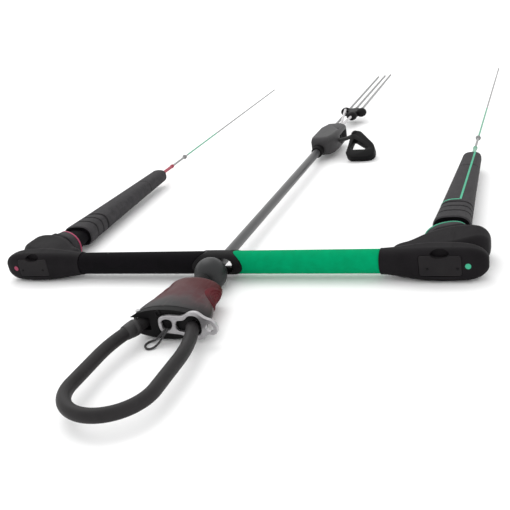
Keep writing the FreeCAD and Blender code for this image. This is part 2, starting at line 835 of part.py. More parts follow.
def makeReleaseSpring():
    """Return spring in the swivel head's pocket, its coils drawn as a pleated sleeve."""
    outer, inner, wall = mm.spring_d / 2, mm.spring_d / 2 - 1.6, 0.8
    start = mm.shaft_end + 2
    pleat = (mm.flange_end - 11 - start) / 4
    crest = []
    for turn in range(4):
        crest += [(outer, start + turn * pleat), (inner, start + (turn + 0.5) * pleat)]
    crest.append((outer, start + 4 * pleat))
    profile = crest + [(radius - wall, y) for radius, y in reversed(crest)]
    corners = [Vector(radius, -y, 0) for radius, y in profile]
    face = Part.Face(Part.makePolygon(corners + corners[:1]))
    return feature("release_spring", face.revolve(Vector(), alongY, 360))


# ---------------------------------------------------------------- chicken loop

def loopPath(legEnd):
    """Two bent legs, two straight sides and a half circle, all tangent."""
    radius, centreY, legX = mm.loop_radius, -mm.loop_centre, mm.leg_x
    bendEnd = -mm.leg_y - mm.loop_bend
    inward = radius - legX
    bendRadius = (mm.loop_bend ** 2 + inward ** 2) / (2 * inward)
    bendTurn = math.asin(mm.loop_bend / bendRadius)

    def side(sign):
        hub = Vector(sign * (radius - bendRadius), bendEnd, 0)

        def onBend(turn):
            return hub + Vector(sign * bendRadius * math.cos(turn), bendRadius * math.sin(turn), 0)

        lead = Vector(onBend(bendTurn).x, -mm.leg_y, 0)
        slope = Vector(-sign * math.sin(bendTurn), math.cos(bendTurn), 0)
        top = lead + slope * ((-legEnd - lead.y) / slope.y)
        bend = Part.Arc(lead, onBend(bendTurn / 2), onBend(0)).toShape()
        straight = Part.LineSegment(onBend(0), Vector(sign * radius, centreY, 0)).toShape()
        return [Part.LineSegment(top, lead).toShape(), bend, straight]

    bottom = Part.Arc(Vector(-radius, centreY, 0), Vector(0, centreY - radius, 0),
                      Vector(radius, centreY, 0)).toShape()
    return side(-1), bottom, side(1)


def anchorCentre():
    return Vector(-mm.leg_x - 0.5, -mm.anchor_y, 0)


def makeLoopTube():
    left, bottom = loopPath(mm.anchor_y - mm.loop_d / 2 + 0.5)[:2]
    right = loopPath(mm.flange_end + mm.plate_t)[2]
    tube = tubeAlong(left + [bottom] + right, mm.loop_d)
    hinge = Part.makeCylinder(mm.anchor_pin_d / 2 + 0.05, 40, anchorCentre() - alongZ * 20, alongZ)
    knuckleHalf = mm.loop_d * 0.3
    knuckleEnd = Part.makeCylinder(mm.loop_d / 2 - 1.2, 2 * knuckleHalf,
                                   anchorCentre() - alongZ * knuckleHalf, alongZ)
    square = block(-60, 0, -mm.anchor_y, 0, -20, 20)
    tube = tube.cut(square).fuse(knuckleEnd).removeSplitter()
    return feature("loop_tube", tube.cut([hinge, catchPin(mm.fit_gap)]))


def makeBoot():
    leg = loopPath(mm.boot_start)[0][0]
    start = leg.valueAt(leg.FirstParameter)
    direction = leg.tangentAt(leg.FirstParameter)
    cone = Part.makeCone(mm.boot_d / 2, mm.loop_d / 2 + 0.9, mm.boot_l, start, direction)
    inside = tubeAlong(loopPath(mm.boot_start - 4)[0], mm.loop_d + 2 * mm.fit_gap)
    return feature("loop_boot", cone.cut(inside))


def plateOutline(points, y):
    edges = tangentPath([Vector(x, y, z) for x, z in points], closed=True)[0]
    return Part.Face(Part.Wire(edges))


def makePlate():
    """Steel latch plate: a wavy frame with an arch over the loop's leg and a leash eye."""
    front = -mm.flange_end - 0.2
    leg, eye = mm.leg_x, mm.eye_x
    outline = [(-7, 0), (-6, 9.5), (4, 12), (leg - 11, 11), (leg - 2, 16.2), (leg + 6, 16.2),
               (eye - 3, 9.6), (eye + 5, 7.4), (eye + 9, -0.5), (eye + 5.5, -8.4), (eye - 3.5, -7.8),
               (leg + 7, -13.5), (leg - 4, -13.5), (leg - 14, -9), (4, -7.8), (-5, -7)]
    cordWindow = [(-3.6, 5.6), (3, 8), (8.8, 6), (7.6, -1), (3, -4.8), (-2.8, -4)]
    legWindow = [(12, 6), (leg - 9, 6.5), (leg - 4, 11.8), (leg + 4, 11.8), (leg + 8, 6),
                 (leg + 7.6, -5), (leg + 3, -9.6), (leg - 4, -9.6), (leg - 11, -6), (12, -4.8)]
    thickness = Vector(0, -mm.plate_t, 0)
    plate = plateOutline(outline, front).extrude(thickness)
    for window in (cordWindow, legWindow):
        plate = plate.cut(plateOutline(window, front).extrude(thickness))
    edges = [edge for edge in plate.Edges if edge.BoundBox.YLength < 0.01]
    plate = plate.makeChamfer(0.6, edges)
    hole = Part.makeCylinder(mm.eye_d / 2, 20, Vector(eye, front + 5, -0.4), -alongY)
    return feature("loop_plate", plate.cut(hole))


def catchPin(margin):
    """The pin in the end of the loop that the release holds, with a margin all round."""
    low = mm.flange_end + mm.plate_t + 5 + margin
    start = Vector(mm.leg_x - 0.8, -low, 0)
    return Part.makeCylinder(mm.catch_pin_d / 2 + margin, low - mm.catch_pin_reach, start, alongY)


def makePins():
    half = mm.sleeve_half_z - 3.5
    start = anchorCentre() - alongZ * half
    feature("anchor_pin", Part.makeCylinder(mm.anchor_pin_d / 2, 2 * half, start, alongZ))
    feature("catch_pin", catchPin(0))


def makeLeashCord():
    """Small cord loop from the plate's window, lying on the floor."""
    route = [Vector(1.5, -148.4, -1.5), Vector(-6, -150, -9), Vector(-13, -147.5, -15.5),
             Vector(-21, -148, -17.2), Vector(-22, -156.5, -17.2), Vector(-14.5, -163, -17.2),
             Vector(-8, -157.5, -16.6), Vector(-3, -152, -10.5), Vector(4, -148.6, -1.5)]
    edges, radii = tangentPath(route)
    length = sum(edge.Length for edge in edges)
    print("leash cord radii", [round(radius, 1) for radius in radii], "length", round(length, 1))
    return feature("leash_cord", tubeAlong(edges, mm.leash_cord_d))


# ---------------------------------------------------------------- trim cleat

def makeCleatBody():
    body = doc.addObject("PartDesign::Body", "cleat_body")
    left, right = -size.cleat_left, size.cleat_right
    start, end = size.cleat_start, size.cleat_end
    sketch = newSketch(body, "cleat_plan", "XY_Plane", -size.cleat_bottom)
    addOutline(sketch, [
        (left + 3, start), (right - 9, start), (right - 2, start + 16), (right, start + 34),
        (right, end - 10), (right - 9, end), (left + 8, end), (left, end - 24), (left, start + 14)])
    addPad(body, "cleat_height", sketch, size.cleat_bottom + size.cleat_top)
    rounding = body.newObject("PartDesign::Fillet", "cleat_rounding")
    pad = body.Tip if body.Tip.Name != rounding.Name else rounding.BaseFeature
    names = []
    for number, edge in enumerate(pad.Shape.Edges, start=1):
        if edge.BoundBox.ZLength < 0.01:
            names.append(f"Edge{number}")
    rounding.Base = (pad, names)
    bind(rounding, Radius=size.cleat_round)
    body.Tip = rounding
    doc.recompute()
    return body


def makeCleat():
    body = makeCleatBody()
    tools = []
    seatStart = Vector(0, mm.cleat_start - 10, 0)
    tubeSeat = Part.makeCylinder(mm.depower_d / 2 + mm.fit_gap, 30, seatStart, alongY)
    tools.append(tubeSeat)
    tools.append(Part.makeCylinder(mm.trim_rope_d / 2 + 0.5, mm.cleat_end - mm.cleat_start - 25,
                                   Vector(mm.trim_rope_x, mm.cleat_end + 1, mm.trim_rope_z), -alongY))
    recess = block(mm.cleat_right - 12, mm.cleat_right + 5, mm.cleat_start + 36, mm.cleat_end - 14, -4, 12)
    tools.append(recess)
    notch = block(-mm.cleat_left - 5, mm.safety_x + mm.front_line_d / 2 + 1.5, mm.cleat_end - 26,
                  mm.cleat_end + 5, -4, 4)
    tools.append(notch)
    tools.append(Part.makeCylinder(mm.jaw_pin_d / 2 + mm.fit_gap, 60, jawCentre() - alongZ * 30, alongZ))
    tools.append(Part.makeCylinder(mm.toggle_cord_d / 2 + mm.fit_gap, 30,
                                   Vector(mm.cleat_right - 16, mm.toggle_y, 6), alongX))
    cutter = doc.addObject("Part::Feature", "cleat_openings")
    cutter.Shape = Part.makeCompound(tools)
    finished = doc.addObject("Part::Cut", "cleat_housing")
    finished.Base = body
    finished.Tool = cutter
    return setDown(finished)


def jawCentre():
    return Vector(mm.cleat_right - 6.5, mm.cleat_start + 52, 0)


def makeJaw():
    """Cam of the cleat with a toothed edge that bites the trim rope."""
    centre = jawCentre()
    radius = mm.jaw_d / 2
    teeth = 12
    points = []
    for step in range(2 * teeth):
        reach = radius if step % 2 == 0 else radius - 1.2
        angle = math.pi * step / teeth
        points.append(centre + Vector(reach * math.cos(angle) * 0.78, reach * math.sin(angle), -3.4))
    disc = Part.Face(Part.makePolygon(points + points[:1])).extrude(Vector(0, 0, 14.8))
    hole = Part.makeCylinder(mm.jaw_pin_d / 2 + mm.fit_gap, 60, centre - alongZ * 30, alongZ)
    feature("cleat_jaw", disc.cut(hole))
    feature("cleat_pin", Part.makeCylinder(mm.jaw_pin_d / 2, 22, centre - alongZ * 7, alongZ))


def makeCleatCollar():
    outer = size.cleat_collar_d / 2
    inner = size.depower_d / 2 + size.fit_gap
    end = size.cleat_start - 0.2
    start = end - size.cleat_collar_l
    return setDown(turnedPiece("cleat_collar", [
        (inner, start), (outer - 1.5, start), (outer, start + 2), (outer, end), (inner, end)]))


def makeTrimRope():
    fork = Vector(mm.trim_rope_x, mm.cleat_end + mm.trim_fork_gap, mm.trim_rope_z)
    stem = straightRope(mm.trim_rope_d, Vector(mm.trim_rope_x, mm.cleat_end - 34, mm.trim_rope_z), fork)
    joint = Part.makeSphere(mm.trim_rope_d / 2, fork)
    legs = []
    for target in (leftBead() + alongZ * 5.5, middleBead()):
        legs.append(straightRope(mm.trim_rope_d * 0.9, fork, target))
    rope = stem.fuse([joint] + legs).removeSplitter()
    for bead in spreaderBeads():
        rope = rope.cut(bead)
    return feature("trim_rope", max(rope.Solids, key=lambda solid: solid.Volume))


# ---------------------------------------------------------------- toggle

toggleCentre = Vector(mm.toggle_x, mm.toggle_y, mm.toggle_z)


def placedToggle(shape):
    shape.rotate(Vector(), alongX, mm.toggle_pitch)
    shape.rotate(Vector(), alongZ, mm.toggle_yaw)
    shape.translate(toggleCentre)
    return shape


def makeToggle():
    start = Vector(mm.cleat_right - 14, mm.toggle_y, 6)
    ball = Part.makeSphere(mm.toggle_ball_d / 2, toggleCentre)
    route = [start, start + alongX * 23, toggleCentre]
    edges, radii = tangentPath(route)
    feature("toggle_cord", tubeAlong(edges, mm.toggle_cord_d).cut(ball))
    feature("toggle_ball", ball)
    half, skew, length = mm.toggle_half_w, mm.toggle_skew, mm.toggle_l
    reach = mm.toggle_ball_d / 2 + 5
    outline = [(-4.5, 3), (9, 3), (skew + half, -length + 12), (skew + half + 2, -length - 6),
               (skew + half - 10, -length - 11), (skew - half + 8, -length - 11),
               (skew - half - 1, -length - 5), (skew - half, -length + 12)]
    window = [(2, -reach - 3), (5, -reach - 4), (skew + half - 9, -length + 8),
              (skew + half - 14, -length + 4), (skew - half + 6, -length + 4), (skew - half + 4, -length + 10)]

    def plate(points, thickness):
        edges, radii = tangentPath([Vector(x, y, -thickness / 2) for x, y in points], closed=True)
        return Part.Face(Part.Wire(edges)).extrude(Vector(0, 0, thickness))

    handle = plate(outline, mm.toggle_t).cut(plate(window, mm.toggle_t + 2))
    socket = Part.makeSphere(mm.toggle_ball_d / 2 + mm.part_gap, Vector())
    handle = handle.cut(socket)
    feature("toggle_handle", placedToggle(handle))


# ---------------------------------------------------------------- line spreader and front lines

def leftBead():
    return Vector(mm.safety_x - 2.5, mm.spreader_y + 28, 0)


def middleBead():
    return Vector(6, mm.spreader_y - 8, 0)


def rightBead():
    return Vector(19, mm.spreader_y + 14, 0)


def spreaderBeads():
    flat = FreeCAD.Matrix()
    flat.scale(Vector(1, 1, 0.85))
    beads = []
    for centre in (leftBead(), middleBead(), rightBead()):
        bead = Part.makeSphere(mm.bead_d / 2).transformGeometry(flat)
        bead.translate(centre)
        beads.append(bead)
    return beads


def frontRoutes():
    """Start and end of the two lines that leave the spreader."""
    return {
        "front_line_left": (Vector(2, mm.spreader_y + 30, 0), Vector(3, mm.front_line_end, 0)),
        "front_line_right": (Vector(15, mm.spreader_y + 24, 0), Vector(14.3, mm.front_line_end + 5, 0)),
    }


def makeSpreader():
    lineHole = Part.makeCylinder(mm.front_line_d / 2 + 0.6, 60,
                                 Vector(mm.safety_x, mm.spreader_y, 0), alongY)
    beads = [bead.cut(lineHole) for bead in spreaderBeads()]
    corners = [leftBead(), middleBead(), rightBead(), rightBead() + Vector(-6, 16, 0),
               Vector(0, mm.spreader_y + 32, 0)]
    edges = tangentPath([corner + alongZ * -5 for corner in corners], closed=True)[0]
    seatD = mm.front_line_d + 2 * mm.fit_gap
    ropes = [straightRope(seatD, start, end) for start, end in frontRoutes().values()]
    web = Part.Face(Part.Wire(edges)).extrude(Vector(0, 0, 10)).cut([lineHole] + beads + ropes)
    feature("spreader_web", max(web.Solids, key=lambda solid: solid.Volume))
    feature("spreader_beads", Part.makeCompound(beads))


def makeFrontLines():
    safetyStart = Vector(mm.safety_x, mm.cleat_end - 22, 0)
    safetyEnd = Vector(mm.safety_x, mm.front_line_end - 4, 0)
    feature("safety_line", knottedLine(mm.front_line_d, safetyStart, safetyEnd))
    for name, (start, end) in frontRoutes().items():
        feature(name, knottedLine(mm.front_line_d, start, end))


# ---------------------------------------------------------------- build, check and export

makeInsert()
makeFloats()
makeSteeringLines()
for maker, leftLabel in (
    (makeBarTube, "bar_tube_left"), (makeGrip, "grip_left"), (makeBarEnd, "bar_end_left"),
    (makePanel, "adjuster_left"), (makeMarker, "marker_left"), (makeRing, "float_ring_left"),
    (makeNeck, "float_neck_left"), (makeThumbPad, "thumb_pad_left"),
):
    mirrored(maker(), leftLabel)
for maker in (
    makeDepowerTube, makeCoreRope, makeBall, makeShaft, makeBearing, makeNeckCollar,
    makeReleaseSleeve, makeReleaseCore, makeReleaseSpring, makeLoopTube, makeBoot, makePlate,
    makePins, makeLeashCord, makeCleat, makeJaw, makeCleatCollar, makeTrimRope, makeToggle,
    makeSpreader, makeFrontLines,
):
    maker()

doc.recompute()

for item in doc.Objects:
    if "Invalid" in item.State or "Error" in item.State:
        raise RuntimeError(f"{item.Label} did not build: {item.State}")

os.makedirs("parts", exist_ok=True)
exported = [piece for piece in pieces if not piece.Label.endswith("_spare")]
for piece in exported:
    if piece.Shape.isNull() or not piece.Shape.isValid():
        raise RuntimeError(f"{piece.Label} has no valid shape")
    piece.Shape.exportStep(f"parts/{piece.Label}.step")
print(len(exported), "sub-parts written")
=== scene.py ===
import json
import math

import bmesh
import bpy
from mathutils import Matrix, Vector

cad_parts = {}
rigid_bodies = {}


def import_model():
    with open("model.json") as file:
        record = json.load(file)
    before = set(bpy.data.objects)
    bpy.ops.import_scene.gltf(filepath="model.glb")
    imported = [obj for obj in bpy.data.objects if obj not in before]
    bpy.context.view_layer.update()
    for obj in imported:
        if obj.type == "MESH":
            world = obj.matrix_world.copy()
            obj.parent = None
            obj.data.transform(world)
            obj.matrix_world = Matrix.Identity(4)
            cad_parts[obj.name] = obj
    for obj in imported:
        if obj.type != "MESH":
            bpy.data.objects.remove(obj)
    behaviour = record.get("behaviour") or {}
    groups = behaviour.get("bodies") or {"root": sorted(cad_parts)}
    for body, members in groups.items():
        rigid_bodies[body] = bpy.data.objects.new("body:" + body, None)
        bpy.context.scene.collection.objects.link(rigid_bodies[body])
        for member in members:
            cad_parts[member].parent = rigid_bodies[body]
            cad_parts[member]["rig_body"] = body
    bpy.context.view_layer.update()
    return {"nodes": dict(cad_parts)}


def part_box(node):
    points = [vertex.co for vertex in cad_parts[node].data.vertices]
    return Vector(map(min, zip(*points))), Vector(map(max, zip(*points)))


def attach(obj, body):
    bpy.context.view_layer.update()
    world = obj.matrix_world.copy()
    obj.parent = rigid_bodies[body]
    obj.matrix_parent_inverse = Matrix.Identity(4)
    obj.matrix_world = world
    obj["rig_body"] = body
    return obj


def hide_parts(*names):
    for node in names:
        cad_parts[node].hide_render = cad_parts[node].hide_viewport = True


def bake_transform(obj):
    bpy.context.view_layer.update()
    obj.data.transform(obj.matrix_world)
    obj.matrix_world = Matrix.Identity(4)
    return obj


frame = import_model()
nodes = frame["nodes"]
scene = bpy.context.scene
scene.view_settings.view_transform = "Standard"

gripLow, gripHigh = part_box("grip_right")
barY = (gripLow.y + gripHigh.y) / 2
barZ = (gripLow.z + gripHigh.z) / 2


def place(x, y, z=0.0):
    # millimetres from the middle of the bar to metres in the frame
    return Vector((x / 1000, y / 1000 + barY, z / 1000 + barZ))


def paint(red, green, blue):
    # screen colour, 0 to 255, to the linear colour a shader takes
    def linear(value):
        value /= 255
        return value / 12.92 if value <= 0.04045 else ((value + 0.055) / 1.055) ** 2.4
    return (linear(red), linear(green), linear(blue), 1.0)


# camera first, then the cords
cameraSizes = {
    "location": (0.3540, -0.90325, 0.3490),
    "right": (0.92926, 0.33209, -0.16185),
    "up": (0.01014, 0.41502, 0.90976),
    "back": (0.36929, -0.84704, 0.38229),
    "lens": 53.82,
}


def makeCamera():
    data = bpy.data.cameras.new("camera")
    data.lens = cameraSizes["lens"]
    data.sensor_width = 36
    data.clip_start, data.clip_end = 0.01, 60
    camera = bpy.data.objects.new("camera", data)
    axes = [Vector(cameraSizes[name]).normalized() for name in ("right", "up", "back")]
    turn = Matrix(axes).transposed().to_4x4()
    camera.matrix_world = Matrix.Translation(cameraSizes["location"]) @ turn
    scene.collection.objects.link(camera)
    scene.camera = camera


makeCamera()
print("camera in place")


# ---- shader groups that several finishes share

def newGroup(name, inputs, outputs):
    group = bpy.data.node_groups.new(name, "ShaderNodeTree")
    for label, value in inputs:
        socket = group.interface.new_socket(label, in_out="INPUT", socket_type="NodeSocketFloat")
        socket.default_value = value
    for label in outputs:
        group.interface.new_socket(label, in_out="OUTPUT", socket_type="NodeSocketFloat")
    source = group.nodes.new("NodeGroupInput")
    result = group.nodes.new("NodeGroupOutput")
    return group, source, result


def mathNode(tree, operation, first, second=None):
    node = tree.nodes.new("ShaderNodeMath")
    node.operation = operation
    for index, value in enumerate((first, second)):
        if value is None:
            continue
        if isinstance(value, (int, float)):
            node.inputs[index].default_value = value
        else:
            tree.links.new(value, node.inputs[index])
    return node.outputs[0]


def noiseNode(tree, coordinates, scale, detail, roughness=0.55):
    noise = tree.nodes.new("ShaderNodeTexNoise")
    tree.links.new(coordinates, noise.inputs["Vector"])
    if isinstance(scale, (int, float)):
        noise.inputs["Scale"].default_value = scale
    else:
        tree.links.new(scale, noise.inputs["Scale"])
    noise.inputs["Detail"].default_value = detail
    noise.inputs["Roughness"].default_value = roughness
    return noise.outputs["Fac"]


def objectAxes(tree):
    split = tree.nodes.new("ShaderNodeSeparateXYZ")
    tree.links.new(tree.nodes.new("ShaderNodeTexCoord").outputs["Object"], split.inputs[0])
    return split.outputs


def stretchedCoordinates(tree, scale):
    stretch = tree.nodes.new("ShaderNodeMapping")
    stretch.inputs["Scale"].default_value = scale
    tree.links.new(tree.nodes.new("ShaderNodeTexCoord").outputs["Object"], stretch.inputs["Vector"])
    return stretch


def makeGrainGroup():
    # broad patches for colour, fine grain for height, thin scuffs for roughness
    group, source, result = newGroup(
        "mouldedGrain", [("Patch Scale", 40.0), ("Grain Scale", 900.0), ("Scuff Scale", 160.0)],
        ["Patch", "Grain", "Scuff"])
    coordinates = group.nodes.new("ShaderNodeTexCoord").outputs["Object"]
    patch = noiseNode(group, coordinates, source.outputs["Patch Scale"], 3)
    grain = noiseNode(group, coordinates, source.outputs["Grain Scale"], 2)
    stretch = stretchedCoordinates(group, (1.0, 0.16, 1.0))
    stretch.inputs["Rotation"].default_value = (0.0, 0.0, 0.6)
    streak = noiseNode(group, stretch.outputs[0], source.outputs["Scuff Scale"], 5, 0.7)
    scuff = group.nodes.new("ShaderNodeMapRange")
    scuff.inputs["From Min"].default_value = 0.56
    scuff.inputs["From Max"].default_value = 0.72
    group.links.new(streak, scuff.inputs["Value"])
    group.links.new(patch, result.inputs["Patch"])
    group.links.new(grain, result.inputs["Grain"])
    group.links.new(scuff.outputs["Result"], result.inputs["Scuff"])
    return group


def makeBraidGroup():
    # crossing strands of a round rope that runs along Y at the given place
    group, source, result = newGroup(
        "ropeBraid", [("Centre X", 0.0), ("Centre Z", 0.0), ("Pitch", 0.006), ("Strands", 8.0)],
        ["Height", "Gap"])
    axes = objectAxes(group)
    fromX = mathNode(group, "SUBTRACT", axes["X"], source.outputs["Centre X"])
    fromZ = mathNode(group, "SUBTRACT", axes["Z"], source.outputs["Centre Z"])
    angle = mathNode(group, "ARCTAN2", fromZ, fromX)
    around = mathNode(group, "MULTIPLY", angle, source.outputs["Strands"])
    turns = mathNode(group, "DIVIDE", axes["Y"], source.outputs["Pitch"])
    length = mathNode(group, "MULTIPLY", turns, 2 * math.pi)
    rising = mathNode(group, "SINE", mathNode(group, "ADD", around, length))
    falling = mathNode(group, "SINE", mathNode(group, "SUBTRACT", around, length))
    product = mathNode(group, "MULTIPLY", rising, falling)
    height = mathNode(group, "MULTIPLY_ADD", product, 0.5)
    height.node.inputs[2].default_value = 0.5
    gap = mathNode(group, "LESS_THAN", height, 0.22)
    group.links.new(height, result.inputs["Height"])
    group.links.new(gap, result.inputs["Gap"])
    return group


grainGroup = makeGrainGroup()
braidGroup = makeBraidGroup()


# ---- finishes

def newMaterial(name):
    material = bpy.data.materials.new(name)
    material.use_nodes = True
    tree = material.node_tree
    shader = tree.nodes["Principled BSDF"]
    return material, tree, shader


def placeGroup(tree, group, values):
    node = tree.nodes.new("ShaderNodeGroup")
    node.node_tree = group
    for label, value in values.items():
        node.inputs[label].default_value = value
    return node


def mixColours(tree, factor, first, second):
    mix = tree.nodes.new("ShaderNodeMix")
    mix.data_type = "RGBA"
    if isinstance(factor, (int, float)):
        mix.inputs[0].default_value = factor
    else:
        tree.links.new(factor, mix.inputs[0])
    for index, colour in ((6, first), (7, second)):
        if isinstance(colour, tuple):
            mix.inputs[index].default_value = colour
        else:
            tree.links.new(colour, mix.inputs[index])
    return mix.outputs[2]


def rangeNode(tree, value, low, high, fromLow=0.0, fromHigh=1.0):
    node = tree.nodes.new("ShaderNodeMapRange")
    tree.links.new(value, node.inputs["Value"])
    node.inputs["From Min"].default_value = fromLow
    node.inputs["From Max"].default_value = fromHigh
    node.inputs["To Min"].default_value = low
    node.inputs["To Max"].default_value = high
    return node.outputs["Result"]


def bumpNode(tree, height, strength, distance):
    bump = tree.nodes.new("ShaderNodeBump")
    bump.inputs["Strength"].default_value = strength
    bump.inputs["Distance"].default_value = distance
    tree.links.new(height, bump.inputs["Height"])
    return bump.outputs["Normal"]


def mouldedFinish(name, look):
    # plastic, foam, rubber and plain metal: two close colours, grain and scuffs
    material, tree, shader = newMaterial(name)
    grain = placeGroup(tree, grainGroup, {
        "Patch Scale": look.get("patch", 40.0), "Grain Scale": look.get("grain", 900.0),
        "Scuff Scale": look.get("scuff", 160.0)})
    spread = rangeNode(tree, grain.outputs["Patch"], 0.0, 1.0, 0.32, 0.68)
    colour = mixColours(tree, spread, look["dark"], look["light"])
    worn = mathNode(tree, "MULTIPLY", grain.outputs["Scuff"], look.get("wear", 0.15))
    colour = mixColours(tree, worn, colour, look.get("wornColour", look["light"]))
    tree.links.new(colour, shader.inputs["Base Color"])
    low, high = look["roughness"]
    rough = mathNode(tree, "ADD", rangeNode(tree, grain.outputs["Patch"], low, high, 0.3, 0.7),
                     mathNode(tree, "MULTIPLY", grain.outputs["Scuff"], 0.12))
    tree.links.new(rough, shader.inputs["Roughness"])
    normal = bumpNode(tree, grain.outputs["Grain"], look.get("bump", 0.25), look.get("depth", 0.0002))
    tree.links.new(normal, shader.inputs["Normal"])
    shader.inputs["Metallic"].default_value = look.get("metallic", 0.0)
    shader.inputs["Specular IOR Level"].default_value = look.get("specular", 0.5)
    return material


finishLooks = {
    "endPlastic": {"dark": paint(20, 18, 20), "light": paint(26, 24, 26), "roughness": (0.54, 0.64),
                   "grain": 1500.0, "bump": 0.18, "wear": 0.12, "wornColour": paint(40, 38, 40),
                   "specular": 0.06},
    "panelPlastic": {"dark": paint(27, 25, 27), "light": paint(34, 32, 33), "roughness": (0.52, 0.62),
                     "grain": 1500.0, "bump": 0.15, "wear": 0.12, "wornColour": paint(48, 46, 46),
                     "specular": 0.1},
    "blackPlastic": {"dark": paint(12, 11, 12), "light": paint(19, 18, 19), "roughness": (0.5, 0.62),
                     "grain": 1300.0, "bump": 0.2, "wear": 0.15, "wornColour": paint(34, 34, 34),
                     "specular": 0.12},
    "ballPlastic": {"dark": paint(30, 31, 32), "light": paint(38, 39, 40), "roughness": (0.4, 0.5),
                    "grain": 1600.0, "bump": 0.1, "wear": 0.1, "wornColour": paint(60, 60, 60),
                    "specular": 0.3},
    "floatFoam": {"dark": paint(36, 35, 37), "light": paint(54, 52, 54), "roughness": (0.72, 0.85),
                  "grain": 1100.0, "patch": 120.0, "bump": 0.5, "depth": 0.00035, "wear": 0.25,
                  "wornColour": paint(76, 74, 76), "specular": 0.25},
    "blackFoam": {"dark": paint(9, 8, 10), "light": paint(16, 14, 17), "roughness": (0.68, 0.82),
                  "grain": 1200.0, "patch": 90.0, "bump": 0.45, "depth": 0.0003, "wear": 0.12,
                  "wornColour": paint(28, 26, 28), "specular": 0.05},
    "greenFoam": {"dark": paint(0, 138, 90), "light": paint(0, 148, 98), "roughness": (0.7, 0.84),
                  "grain": 1200.0, "patch": 90.0, "bump": 0.45, "depth": 0.0003, "wear": 0.1,
                  "wornColour": paint(10, 154, 108), "specular": 0.03},
    "greenTrim": {"dark": paint(20, 140, 104), "light": paint(52, 168, 130), "roughness": (0.45, 0.6),
                  "wear": 0.1, "bump": 0.15},
    "redTrim": {"dark": paint(128, 24, 62), "light": paint(158, 42, 82), "roughness": (0.45, 0.6),
                "wear": 0.1, "bump": 0.15},
    "padRubber": {"dark": paint(58, 4, 12), "light": paint(88, 14, 24), "roughness": (0.5, 0.62),
                  "grain": 1400.0, "bump": 0.2, "wear": 0.2, "wornColour": paint(112, 44, 52),
                  "specular": 0.15},
    "loopRubber": {"dark": paint(22, 20, 21), "light": paint(33, 31, 32), "roughness": (0.46, 0.58),
                   "patch": 60.0, "grain": 1200.0, "bump": 0.2, "wear": 0.2,
                   "wornColour": paint(56, 54, 56), "specular": 0.22},
    "bootRubber": {"dark": paint(20, 18, 19), "light": paint(28, 26, 27), "roughness": (0.5, 0.62),
                   "grain": 1300.0, "bump": 0.25, "wear": 0.15, "wornColour": paint(70, 68, 68)},
    "cleatPlastic": {"dark": paint(42, 42, 42), "light": paint(60, 58, 60), "roughness": (0.5, 0.62),
                     "patch": 30.0, "grain": 1500.0, "bump": 0.2, "wear": 0.2,
                     "wornColour": paint(92, 90, 92), "specular": 0.3},
    "toggleRubber": {"dark": paint(9, 9, 10), "light": paint(17, 16, 17), "roughness": (0.5, 0.62),
                     "grain": 1200.0, "bump": 0.25, "wear": 0.15, "wornColour": paint(34, 34, 36),
                     "specular": 0.1},
    "aluminium": {"dark": paint(170, 172, 176), "light": paint(196, 198, 200), "metallic": 1.0,
                  "roughness": (0.24, 0.36), "wear": 0.1, "bump": 0.05},
    "springSteel": {"dark": paint(150, 150, 152), "light": paint(186, 186, 186), "metallic": 1.0,
                    "roughness": (0.2, 0.34), "wear": 0.1, "bump": 0.05},
}
finishes = {name: mouldedFinish(name, look) for name, look in finishLooks.items()}


def makeBrushedSteel():
    material, tree, shader = newMaterial("brushedSteel")
    hairlines = noiseNode(tree, stretchedCoordinates(tree, (1.0, 1.0, 14.0)).outputs[0], 260.0, 4, 0.65)
    grain = placeGroup(tree, grainGroup, {"Patch Scale": 70.0, "Scuff Scale": 240.0})
    colour = mixColours(tree, hairlines, paint(140, 138, 140), paint(196, 194, 196))
    shade = rangeNode(tree, grain.outputs["Patch"], 0.0, 0.35, 0.4, 0.7)
    colour = mixColours(tree, shade, colour, paint(112, 110, 112))
    tree.links.new(colour, shader.inputs["Base Color"])
    tree.links.new(rangeNode(tree, hairlines, 0.3, 0.5), shader.inputs["Roughness"])
    tree.links.new(bumpNode(tree, hairlines, 0.12, 0.0001), shader.inputs["Normal"])
    shader.inputs["Metallic"].default_value = 0.85
    return material


finishes["brushedSteel"] = makeBrushedSteel()


def makeReleaseShell():
    # red at the top of the release, running out into grey towards the loop
    material, tree, shader = newMaterial("releaseShell")
    grain = placeGroup(tree, grainGroup, {"Patch Scale": 55.0, "Grain Scale": 1400.0})
    sway = rangeNode(tree, grain.outputs["Patch"], -0.006, 0.006, 0.35, 0.65)
    along = mathNode(tree, "ADD", objectAxes(tree)["Y"], sway)
    share = rangeNode(tree, along, 0.0, 1.0, place(0, -66).y, place(0, -136).y)
    ramp = tree.nodes.new("ShaderNodeValToRGB")
    tree.links.new(share, ramp.inputs["Fac"])
    stops = ((0.0, (62, 4, 8)), (0.25, (66, 10, 14)), (0.54, (68, 30, 34)), (0.7, (62, 46, 48)),
             (0.84, (42, 38, 39)), (1.0, (28, 28, 29)))
    elements = ramp.color_ramp.elements
    elements[1].position = 1.0
    elements[1].color = paint(*stops[-1][1])
    elements[0].color = paint(*stops[0][1])
    for position, colour in stops[1:-1]:
        elements.new(position).color = paint(*colour)
    worn = mathNode(tree, "MULTIPLY", grain.outputs["Scuff"], 0.12)
    tree.links.new(mixColours(tree, worn, ramp.outputs["Color"], paint(140, 120, 120)),
                   shader.inputs["Base Color"])
    rough = rangeNode(tree, grain.outputs["Patch"], 0.34, 0.46, 0.3, 0.7)
    tree.links.new(rough, shader.inputs["Roughness"])
    tree.links.new(bumpNode(tree, grain.outputs["Grain"], 0.12, 0.0001), shader.inputs["Normal"])
    shader.inputs["Coat Weight"].default_value = 0.06
    shader.inputs["Coat Roughness"].default_value = 0.3
    shader.inputs["Specular IOR Level"].default_value = 0.12
    return material


finishes["releaseShell"] = makeReleaseShell()


